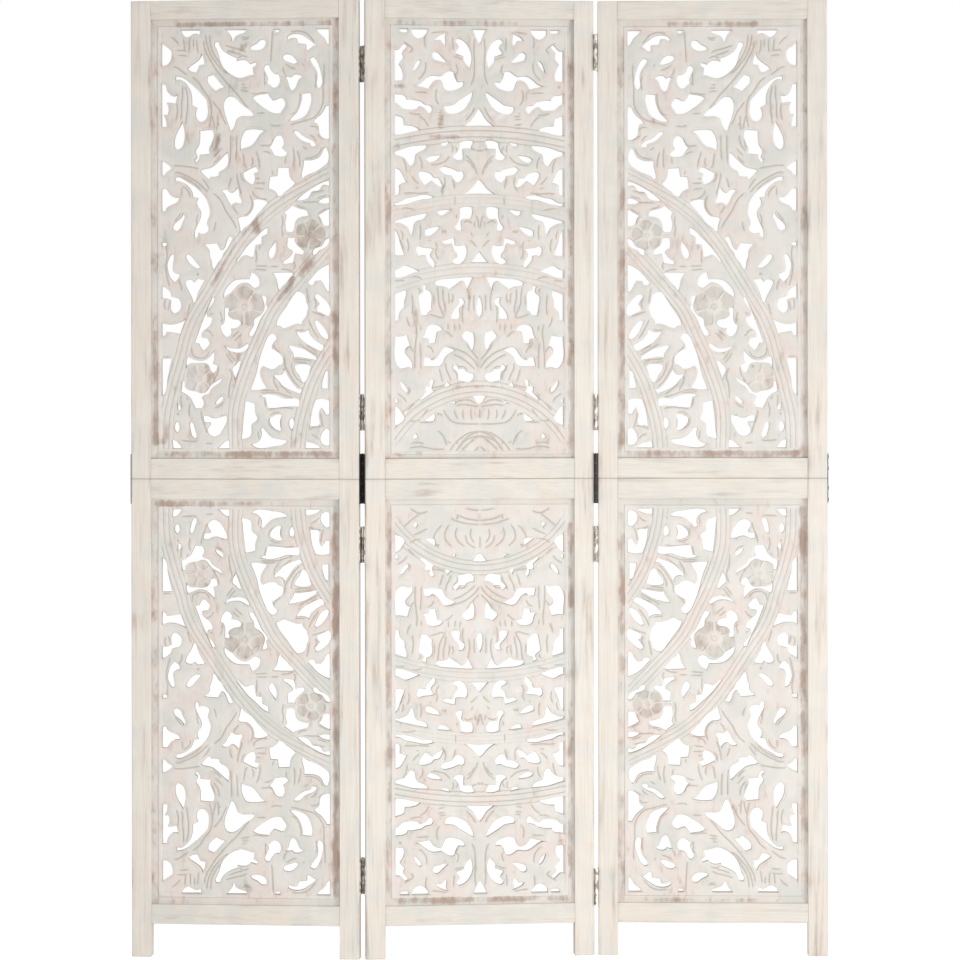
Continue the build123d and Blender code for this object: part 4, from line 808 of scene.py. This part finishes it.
# Rubbed strips and spots of each panel in chart units: both ends, half width and how bare the wood is
WEAR = {
    "left_upper": [
        ((18, 421.5), (85, 421.5), 4.5, 1.0), ((85, 421.5), (168, 421.5), 4.5, 0.7),
        ((-6, -6), (30, -6), 5, 0.7), ((30, -6), (172, -6), 6, 1.0), ((-6, 5), (-6, 115), 6, 1.0),
        ((173, 60), (173, 340), 5, 0.7), ((96, 216), (97, 230), 9, 0.9), ((64, 391), (86, 400), 7, 0.7),
        ((53, 292), (57, 312), 6, 0.8), ((148, 212), (149, 218), 14, 0.5),
        ((139, 172), (151, 188), 7, 0.9), ((118, 148), (131, 168), 6, 0.8),
        ((50, 162), (74, 204), 5, 0.8), ((75, 205), (96, 230), 6, 0.7), ((82, 140), (84, 132), 8, 0.6),
        ((3, 6), (12, 60), 6, 0.5), ((130, 4), (138, 12), 7, 0.7), ((72, 60), (80, 110), 5, 0.5),
    ],
    "left_lower": [
        ((173, 5), (173, 416), 6, 1.0), ((-5, -6), (50, -6), 6, 1.0), ((50, -6), (120, -6), 4, 0.6),
        ((40, 70), (40, 70), 14, 0.5), ((82, 140), (82, 140), 12, 0.5),
    ],
    "centre_upper": [
        ((6, 422), (120, 422), 5, 0.7), ((36, 309), (62, 308), 5, 0.9), ((46, 318), (46, 334), 5, 0.6),
        ((2, 359), (8, 359), 5, 0.7), ((47, 252), (47, 262), 5, 0.7), ((175, 105), (175, 215), 5, 1.0),
        ((175, 215), (175, 380), 4, 0.6), ((175, -10), (175, 105), 4, 0.6),
        ((75, 130), (75, 148), 4, 0.6), ((-6, 130), (-6, 250), 5, 0.8), ((-6, 250), (-6, 400), 4, 0.5),
        ((2, 298), (16, 306), 7, 0.5), ((60, 59), (110, 59), 3, 0.6), ((20, 150), (22, 110), 6, 0.4),
        ((0, -8), (26, -7), 4, 0.6), ((30, -14), (110, -14), 3, 0.8), ((110, -16), (168, -16), 3, 0.6),
    ],
    "centre_lower": [
        ((175, 10), (175, 100), 5, 1.0), ((175, 210), (175, 400), 5, 0.8), ((-6, 0), (-6, 320), 5, 0.8),
        ((0, 422), (170, 422), 5.5, 0.9),
    ],
    "right_upper": [
        ((173, 5), (173, 320), 6, 0.9), ((40, 422), (125, 422), 5, 0.8), ((0, -6), (170, -6), 6, 0.9),
        ((148, 212), (149, 218), 14, 0.5), ((82, 140), (82, 140), 12, 0.5),
        ((118, 148), (131, 168), 6, 0.5), ((145, 60), (150, 100), 6, 0.4),
    ],
    "right_lower": [
        ((-6, 0), (-6, 215), 7, 1.0), ((-6, 215), (-6, 330), 5, 0.8), ((173, 5), (173, 215), 5, 0.8),
        ((82, 140), (82, 140), 12, 0.5), ((20, 424), (150, 424), 4, 0.5),
    ],
}


def wear(chart, panel, points):
    """How far the paint is rubbed off a panel at each point, from 0 to 1."""
    sideways = np.abs(points[:, 0]) - chart.half_width
    worn = BORDER_WEAR * smooth_step(sideways, *CHANNEL[:2])
    size = chart.scale.mean()
    middle, swing = WEAR_SWING
    for start, end, half_width, share in WEAR[panel]:
        # the small step keeps a spot, whose two ends are one point, from having no length
        across, _ = off_line(points, chart.place((start, np.add(end, 0.1))))
        inner = 1 - np.abs(across) / (half_width * size)
        worn = np.maximum(worn, share * smooth_step(inner, 0, WEAR_FADE))
    return worn * (middle + swing * unevenness(points, WEAR_PATCH, seed=11).clip(-1, 1))


def make_panel(leaf_name, half, chart, front, back):
    """A carved panel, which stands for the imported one."""
    leaf = LEAF[leaf_name]
    node = f"{leaf_name}_{half}_jali_panel"
    flat, triangles, out = front_face(leaf, node)
    heights = sorted((flat[rim][:, 1] for rim in outlines(triangles)), key=np.ptp)
    *inner, outer = heights
    inner = np.concatenate(inner)
    ends = [outer.min(), inner.min(), inner.max(), outer.max()]
    chart_ends = [chart.box[0][1], chart.foot, chart.half_height, chart.box[1][1]]
    hand = -1 if leaf_name == "right" else 1

    def placed(points, depth):
        y = np.interp(points[:, 1], chart_ends, ends if half == "upper" else ends[::-1])
        return np.stack((points[:, 0] * hand, y, depth), 1)

    points, faces, drop, cut, bare = front
    more, back_faces = back
    rim_count = sum(map(len, chart.rims))
    rim_points = points[:rim_count]
    back_rim_depth = np.full(rim_count, -out + BACK_RIM_DROP)
    back_rim_depth[:len(chart.rims[0])] = -out
    solid = np.concatenate([
        placed(points, out - drop),
        placed(rim_points, back_rim_depth),
        placed(more, np.full(len(more), -out)),
    ])
    first_back = len(points)
    back_faces = back_faces + first_back
    walls, start = [], 0
    for rim in chart.rims:
        a = start + np.arange(len(rim))
        b = np.roll(a, -1)
        walls += [np.stack((b, a, a + first_back), 1), np.stack((b, a + first_back, b + first_back), 1)]
        start += len(rim)
    triangles = np.concatenate([faces, back_faces[:, ::-1], *walls])
    if (half == "lower") != (hand < 0):
        triangles = triangles[:, ::-1]
    plain = np.zeros(len(more))
    worn = wear(chart, f"{leaf_name}_{half}", points)
    # the cut attribute carries dirt and painted shade, on the pierced walls too
    piece = make_mesh(f"carved_{node}", leaf.world(solid), triangles, {
        "cut": np.concatenate([cut, np.full(rim_count, WALL_DIRT_AND_SHADE), plain]),
        "worn": np.concatenate([np.maximum(worn, bare), worn[:rim_count], plain]),
    })
    piece.data.materials.append(CARVED)
    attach(piece, f"{leaf_name}_leaf")
    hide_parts(node)
    return piece


# ---------------------------------------------------------------- frame members
LEVEL, UPRIGHT = 0, 1  # a member's direction, as its axis in the leaf's plane
INNER_ARRIS = 1.0
OUTER_ARRIS = {LEVEL: 1.3, UPRIGHT: 2.0}
END_EASE = {LEVEL: 0.7, UPRIGHT: 1.1}
EASE_ROUND = 0.3  # place of the middle point of an eased end, along and in, over the ease
SEAM_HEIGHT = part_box("left_lower_stile_left")[1].z / MM
GROOVE_DEPTH = 8.0  # of the groove that holds the panel
GROOVE_HALF_WIDTH = 6.2
GROOVE_PAST_PANEL = 1.0
SECTION_SPACING = 9.0
FACE_SPACING = 5.0
ARRIS_STEPS = 3
ARRIS_WEAR_REACH = 6.0  # how far from an arris the paint is thinner
DENT = 0.28  # how far the sanded faces dip
DENT_LENGTH = 14
DENT_STRETCH = (1, 1, 0.25)  # dents are longer along a member
SEAM_DIRT = (1.7, 1.5)  # distance from the seam that is dirty, and its soft edge
END_DIRT = (0.8, 1.2)  # how dark a member's ends are, and how far along


def rounded_corner(corner, before, after, radius):
    """Points of a quarter round that replaces a square corner between two directions."""
    corner, before, after = (np.array(v, float) for v in (corner, before, after))
    middle = corner - radius * before + radius * after
    angles = np.linspace(0, math.pi / 2, ARRIS_STEPS + 1)
    return [middle + radius * (before * math.sin(a) - after * math.cos(a)) for a in angles]


def member_profile(width, thick, outer):
    """Section of a frame member: its width along x, its thickness along y, its groove at +x."""
    w, t, g, inner = width / 2, thick / 2, GROOVE_HALF_WIDTH, INNER_ARRIS
    points = rounded_corner((-w, -t), (0, -1), (1, 0), outer)
    points += straight((-w + outer, -t), (w - inner, -t))
    points += rounded_corner((w, -t), (1, 0), (0, 1), inner)
    points += [(w, -g), (w - GROOVE_DEPTH, -g), (w - GROOVE_DEPTH, g), (w, g)]
    points += rounded_corner((w, t), (0, 1), (-1, 0), inner)
    points += straight((w - inner, t), (-w + outer, t))
    points += rounded_corner((-w, t), (-1, 0), (0, -1), outer)
    points += straight((-w, t - outer), (-w, -t + outer))
    return np.array(points, float)


def straight(start, end):
    """Points between two ends, without the ends themselves."""
    count = max(1, round(math.dist(start, end) / FACE_SPACING))
    start, end = np.array(start), np.array(end)
    return [start + (end - start) * k / count for k in range(1, count)]


def member_solid(size, outer, ease, grooved):
    """A frame member along z about its middle: points, triangles and their nearness to an arris.

    size is its width, thickness and length, outer the radius of the arrises away from the panel, ease
    how far its ends are eased, and grooved where along it the panel's groove starts and ends.
    """
    width, thick, length = size
    profile = member_profile(width, thick, outer)
    corner = (width / 2 - GROOVE_DEPTH, GROOVE_HALF_WIDTH)
    groove_bottom = np.isclose(np.column_stack((profile[:, 0], np.abs(profile[:, 1]))), corner).all(1)
    slope = np.array((0, ease * EASE_ROUND, ease))
    count = round(length / SECTION_SPACING)
    places = np.concatenate((slope, np.linspace(ease, length - ease, count + 1)[1:-1],
                             length - slope[::-1]))
    less = np.zeros(len(places))
    less[:2] = ease, ease * EASE_ROUND
    less[-2:] = ease * EASE_ROUND, ease
    sections = []
    for place, shrink in zip(places, less):
        scale = 1 - 2 * shrink / np.array((width, thick))
        section = profile * scale
        if not grooved[0] < place < grooved[1]:
            section[groove_bottom, 0] = width / 2 * scale[0]
        sections.append(np.column_stack((section, np.full(len(section), place - length / 2))))
    solid = np.concatenate(sections)
    n = len(profile)
    a = np.arange(n * (len(places) - 1))
    b = a // n * n + (a + 1) % n
    cap = np.array(delaunay_2d_cdt([Vector(p) for p in profile],
                                   [(i, (i + 1) % n) for i in range(n)], [], 1, 1e-6)[2])
    triangles = np.concatenate((np.stack((a, b, b + n), 1), np.stack((a, b + n, a + n), 1),
                                cap[:, ::-1], cap + n * (len(places) - 1)))
    corner_gap = np.min([np.hypot(profile[:, 0] - x, profile[:, 1] - y)
                         for x in (-width / 2, width / 2) for y in (-thick / 2, thick / 2)], 0)
    edge = np.tile(smooth_step(ARRIS_WEAR_REACH - corner_gap, 0, ARRIS_WEAR_REACH), len(places))
    # where the groove is stopped its sides fall together
    _, kept, same = np.unique(np.round(solid, 4), axis=0, return_index=True, return_inverse=True)
    triangles = same.reshape(-1)[triangles]
    triangles = triangles[(triangles != np.roll(triangles, 1, 1)).all(1)]
    return solid[kept], triangles, edge[kept]


def make_member(node, leaf_name, along, side, span=None):
    """A stile or rail with eased, slightly uneven faces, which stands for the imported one."""
    leaf = LEAF[leaf_name]
    points = leaf.mesh_points(node)
    low, high = points.min(0), points.max(0)
    if span:
        low[along], high[along] = span
    wide = 1 - along
    size = (high - low)[[wide, 2, along]]
    _, thick, length = size
    half = node.split("_")[1]
    panel = leaf.mesh_points(f"{leaf_name}_{half}_jali_panel")[:, along] - low[along]
    grooved = panel.min() - GROOVE_PAST_PANEL, panel.max() + GROOVE_PAST_PANEL
    solid, triangles, edge = member_solid(size, OUTER_ARRIS[along], END_EASE[along], grooved)
    seed = len(node) + ord(node[-1])
    dent = DENT * np.abs(unevenness(solid * DENT_STRETCH, DENT_LENGTH, seed))
    centre = (low + high) / 2
    placed = np.empty_like(solid)
    placed[:, wide] = centre[wide] + solid[:, 0] * side
    placed[:, 2] = centre[2] + solid[:, 1]
    placed[:, along] = centre[along] + solid[:, 2]
    face = np.abs(solid[:, 1]) > thick / 2 - 0.01
    placed[:, 2] -= np.where(face, np.sign(solid[:, 1]) * dent, 0)
    # a mirrored section or turned axes would show the faces inside out
    if side * (1 if along == UPRIGHT else -1) < 0:
        triangles = triangles[:, ::-1]
    seam = smooth_step(SEAM_DIRT[0] - np.abs(placed[:, 1] - SEAM_HEIGHT), 0, SEAM_DIRT[1])
    most, far = END_DIRT
    ends = smooth_step(far - (length / 2 - np.abs(solid[:, 2])), 0, far)
    cut = np.maximum(seam, most * ends)
    piece = make_mesh(f"whitewashed_{node}", leaf.world(placed), triangles, {"edge": edge, "cut": cut})
    piece.data.materials.append(FRAME_UPRIGHT if along == UPRIGHT else FRAME_LEVEL)
    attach(piece, f"{leaf_name}_leaf")
    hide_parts(node)
    return piece


def make_frame(leaf_name, half):
    """The two stiles and two rails of one half of a leaf."""
    prefix = f"{leaf_name}_{half}"
    inner = []
    for end, side in (("left", 1), ("right", -1)):
        across = LEAF[leaf_name].mesh_points(f"{prefix}_stile_{end}")[:, 0]
        inner.append(across.max() if side > 0 else across.min())
        make_member(f"{prefix}_stile_{end}", leaf_name, UPRIGHT, side)
    for end, side in (("bottom", 1), ("top", -1)):
        make_member(f"{prefix}_{end}_rail", leaf_name, LEVEL, side, inner)


# ---------------------------------------------------------------- materials
def linear(colour):
    """An sRGB hex colour as linear red, green, blue and alpha."""
    parts = [int(colour[k:k + 2], 16) / 255 for k in (1, 3, 5)]
    return [p / 12.92 if p <= 0.04045 else ((p + 0.055) / 1.055) ** 2.4 for p in parts] + [1]


def add(tree, kind, inputs=None, out=0, **settings):
    """Adds a node with its settings and its inputs' values or links, and gives one of its outputs."""
    node = tree.nodes.new("ShaderNode" + kind)
    for key, value in settings.items():
        setattr(node, key, value)
    for key, value in (inputs or {}).items():
        if isinstance(value, bpy.types.NodeSocket):
            tree.links.new(value, node.inputs[key])
        else:
            node.inputs[key].default_value = value
    return node.outputs[out] if node.outputs else None


def new_material(name):
    """An empty node material and its tree."""
    material = bpy.data.materials.new(name)
    material.use_nodes = True
    material.node_tree.nodes.clear()
    return material, material.node_tree


def coat(tree, under, over, value, low, high, most=1.0, rise="SMOOTHSTEP"):
    """One colour laid over another where a value rises from low to high, up to a cover of most."""
    cover = add(tree, "MapRange", {"Value": value, "From Min": low, "From Max": high, "To Max": most},
                interpolation_type=rise)
    return add(tree, "Mix", {"Factor": cover, "A": under, "B": over}, out="Result", data_type="RGBA")


def finish_surface(tree, height, strength, distance, surface):
    """Ends a material with its surface and a fine unevenness of it."""
    bump = add(tree, "Bump", {"Height": height, "Strength": strength, "Distance": distance})
    shader = add(tree, "BsdfPrincipled", {**surface, "Normal": bump})
    add(tree, "OutputMaterial", {"Surface": shader})


GRAIN_COLOUR = "#CDBFB2"  # wood that shows through thin paint
BRUSH_COLOUR = "#C9BEB3"
GRIME_AND_SHADE_COLOUR = "#A09385"  # dirt and painted shade held by the cuts, walls, petals and channel; dark joints on the frame
DARK_WOOD, LIGHT_WOOD = "#86695A", "#BC9F8F"


def whitewashed_mango_wood(name, grain, paint, warm, cool, stroke_length, grain_share):
    """Mango wood brushed with thin white paint and rubbed back: chalky, with brown where it is worn,
    and darker with dirt and painted shade in its cuts.

    grain is the axis that the wood's fibres run along, stroke_length the length of the brush marks in
    mm, and grain_share how far the grain shows through.
    """
    material, tree = new_material(name)
    place = add(tree, "TexCoord", out="Object")
    marks = []
    # fibres and brush marks: width and length in mm, fineness and roughness
    for wide, long, detail, roughness in ((2.6, 110, 4, 0.62), (11, stroke_length, 3, 0.55)):
        scale = [1000 / (long if axis == grain else wide) for axis in "XYZ"]
        drawn = add(tree, "Mapping", {"Vector": place, "Scale": scale})
        marks.append(add(tree, "TexNoise", {"Vector": drawn, "Scale": 1, "Detail": detail,
                                            "Roughness": roughness}))
    fibres, strokes = marks
    patches = add(tree, "TexNoise", {"Vector": place, "Scale": 1000 / 70, "Detail": 3,
                                     "Distortion": 0.6})
    moved = add(tree, "Mapping", {"Vector": place, "Location": (3, 5, 7)})
    shades = add(tree, "TexNoise", {"Vector": moved, "Scale": 1000 / 55, "Detail": 2})
    cut, edge, worn = (add(tree, "Attribute", attribute_name=key, out="Fac")
                       for key in ("cut", "edge", "worn"))

    colour = coat(tree, linear(paint), linear(warm), patches, 0.42, 0.62)
    colour = coat(tree, colour, linear(cool), shades, 0.46, 0.66)
    colour = coat(tree, colour, linear(GRAIN_COLOUR), fibres, 0.45, 0.8, grain_share, "LINEAR")
    colour = coat(tree, colour, linear(BRUSH_COLOUR), strokes, 0.52, 0.72, grain_share)
    # where the paint is thin: noise, and more of it at arrises and on rubbed places
    thin = 0.0
    for source, weight in ((strokes, 0.6), (patches, 0.4), (edge, 0.04), (worn, 0.34)):
        thin = add(tree, "Math", {0: source, 1: weight, 2: thin}, operation="MULTIPLY_ADD")
    wood = add(tree, "Mix", {"Factor": fibres, "A": linear(DARK_WOOD), "B": linear(LIGHT_WOOD)},
               out="Result", data_type="RGBA")
    colour = coat(tree, colour, wood, thin, 0.56, 0.86, 0.8)
    # dirt and painted shade where the cut attribute rises; dark joints on the frame
    colour = coat(tree, colour, linear(GRIME_AND_SHADE_COLOUR), cut, 0.05, 1.1, 0.52)
    height = add(tree, "Math", {0: strokes, 1: 0.6, 2: fibres}, operation="MULTIPLY_ADD")
    rough = add(tree, "MapRange", {"Value": fibres, "To Min": 0.58, "To Max": 0.78})
    finish_surface(tree, height, 0.5, 0.00035, {"Base Color": colour, "Roughness": rough})
    return material


def black_painted_steel():
    """Stamped steel under brushed-on black paint: a dull sheen, a little grey where it is scuffed."""
    material, tree = new_material("brushed_black_paint_on_stamped_steel")
    place = add(tree, "TexCoord", out="Object")
    scuffs = add(tree, "TexNoise", {"Vector": place, "Scale": 1000 / 4, "Detail": 4})
    colour = coat(tree, linear("#171313"), linear("#57504B"), scuffs, 0.58, 0.74, 0.5)
    rough = add(tree, "MapRange", {"Value": scuffs, "To Min": 0.35, "To Max": 0.62})
    finish_surface(tree, scuffs, 0.4, 0.0002, {"Base Color": colour, "Roughness": rough})
    return material


def dulled_steel():
    """Rolled steel gone dull and dark with handling: soft highlights, brighter where it is rubbed."""
    material, tree = new_material("dulled_rolled_steel")
    place = add(tree, "TexCoord", out="Object")
    stains = add(tree, "TexNoise", {"Vector": place, "Scale": 1000 / 9, "Detail": 2})
    colour = coat(tree, linear("#8E8984"), linear("#DAD6CF"), stains, 0.42, 0.58)
    rough = add(tree, "MapRange", {"Value": stains, "To Min": 0.5, "To Max": 0.32})
    finish_surface(tree, stains, 0.3, 0.0002, {"Base Color": colour, "Metallic": 1, "Roughness": rough})
    return material


FRAME_UPRIGHT = whitewashed_mango_wood("brushed_whitewash_on_upright_mango_wood", "Z",
                                       "#EAE3D9", "#E9DFD4", "#E3DFD8", 150, 0.45)
FRAME_LEVEL = whitewashed_mango_wood("brushed_whitewash_on_level_mango_wood", "X",
                                     "#E7E1D8", "#E7DED3", "#DFDCD5", 150, 0.45)
CARVED = whitewashed_mango_wood("brushed_whitewash_on_carved_mango_wood", "Z",
                                "#E4E0DA", "#E4D9D2", "#DAD9D3", 26, 0.15)
BLACK_STEEL = black_painted_steel()
STEEL = dulled_steel()

LEAF = {name: Leaf(name) for name in LEAVES}
for kind, leaf_names in (("side", ("left", "right")), ("centre", ("centre",))):
    chart = Chart(kind, leaf_names[0])
    fronts = {"upper": carve(chart, "upper")}
    fronts["lower"] = carve(chart, "lower") if kind == "centre" else fronts["upper"]
    back = back_face(chart)
    for leaf_name in leaf_names:
        for half in HALVES:
            make_panel(leaf_name, half, chart, fronts[half], back)
for leaf_name in LEAVES:
    for half in HALVES:
        make_frame(leaf_name, half)


def finish_hardware():
    """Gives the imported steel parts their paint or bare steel."""
    for name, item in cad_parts.items():
        if any(word in name for word in ("line_seam_hinge", "seam_screws", "joining_plate")):
            look = BLACK_STEEL
        elif "hinge" in name:
            look = STEEL
        else:
            continue
        for slot in range(len(item.data.materials)):
            item.data.materials[slot] = look


finish_hardware()


# ---------------------------------------------------------------- camera, lights and surroundings
CAMERA_DISTANCE = 5.0
CAMERA_HEIGHT = 0.99
CAMERA_ROLL = 0.0012
SENSOR_WIDTH = 36  # mm
FRAME_SPAN = 1.658  # metres that the picture takes in at the screen
VIEW_MIDDLE = 0.8224  # height and sideways place of the picture's middle there
VIEW_ACROSS = 0.0012
WORLD_LIGHT = 0.58
FLOOR_GLOW = 0.62
WHITE = (1, 1, 1, 1)
FLOOR_CORNERS = np.array([(-40, -6, 0), (40, -6, 0), (40, 80, 0), (-40, 80, 0)], float)


def stand(name, thing, place, turn):
    """Puts a camera or lamp into the scene."""
    holder = bpy.data.objects.new(name, thing)
    holder.location = place
    holder.rotation_euler = turn
    bpy.context.scene.collection.objects.link(holder)
    return holder


def make_camera():
    """Camera that looks level at the screen, shifted rather than tilted to keep uprights upright."""
    camera = bpy.data.cameras.new("camera")
    camera.sensor_width = SENSOR_WIDTH
    camera.lens = SENSOR_WIDTH * CAMERA_DISTANCE / FRAME_SPAN
    camera.shift_x = VIEW_ACROSS / FRAME_SPAN
    camera.shift_y = (VIEW_MIDDLE - CAMERA_HEIGHT) / FRAME_SPAN
    bpy.context.scene.camera = stand("camera", camera, (0, -CAMERA_DISTANCE, CAMERA_HEIGHT),
                                     (math.radians(90), CAMERA_ROLL, 0))


def add_softbox(name, place, aim, size, watts):
    """Square lamp that faces a point."""
    lamp = bpy.data.lights.new(name, "AREA")
    lamp.size = size
    lamp.energy = watts
    stand(name, lamp, place, (Vector(aim) - Vector(place)).to_track_quat("-Z", "Y").to_euler())


def shown(tree):
    """1 for what the camera and gloss see, and 0 for what lights the screen."""
    rays = [add(tree, "LightPath", out=ray) for ray in ("Is Camera Ray", "Is Glossy Ray")]
    return add(tree, "Math", dict(enumerate(rays)), operation="MAXIMUM")


def make_surroundings():
    """White floor that keeps the shadow, and a white world for the camera and for gloss."""
    floor = make_mesh("floor", FLOOR_CORNERS, np.array([(0, 1, 2), (0, 2, 3)]), {})
    material, tree = new_material("floor")
    diffuse = add(tree, "BsdfDiffuse", {"Color": linear("#E8E8E6")})
    strength = add(tree, "Math", {0: shown(tree), 1: FLOOR_GLOW}, operation="MULTIPLY")
    glow = add(tree, "Emission", {"Color": WHITE, "Strength": strength})
    add(tree, "OutputMaterial", {"Surface": add(tree, "AddShader", {0: diffuse, 1: glow})})
    floor.data.materials.append(material)

    world = bpy.data.worlds.new("studio")
    world.use_nodes = True
    tree = world.node_tree
    tree.nodes.clear()
    strength = add(tree, "MapRange", {"Value": shown(tree), "To Min": WORLD_LIGHT, "To Max": 1.0})
    light = add(tree, "Background", {"Color": WHITE, "Strength": strength})
    add(tree, "OutputWorld", {"Surface": light})
    bpy.context.scene.world = world


make_camera()
make_surroundings()
add_softbox("key", (3.4, -3.2, 0.6), (0, 0, 0.5), 1.2, 66)
add_softbox("fill", (-2.8, -3.4, 1.2), (0, 0, 0.8), 2.0, 14)
add_softbox("foot", (0.2, -1.7, 0.35), (0, 0, 0.2), 0.6, 7)
bpy.context.scene.view_settings.view_transform = "Standard"
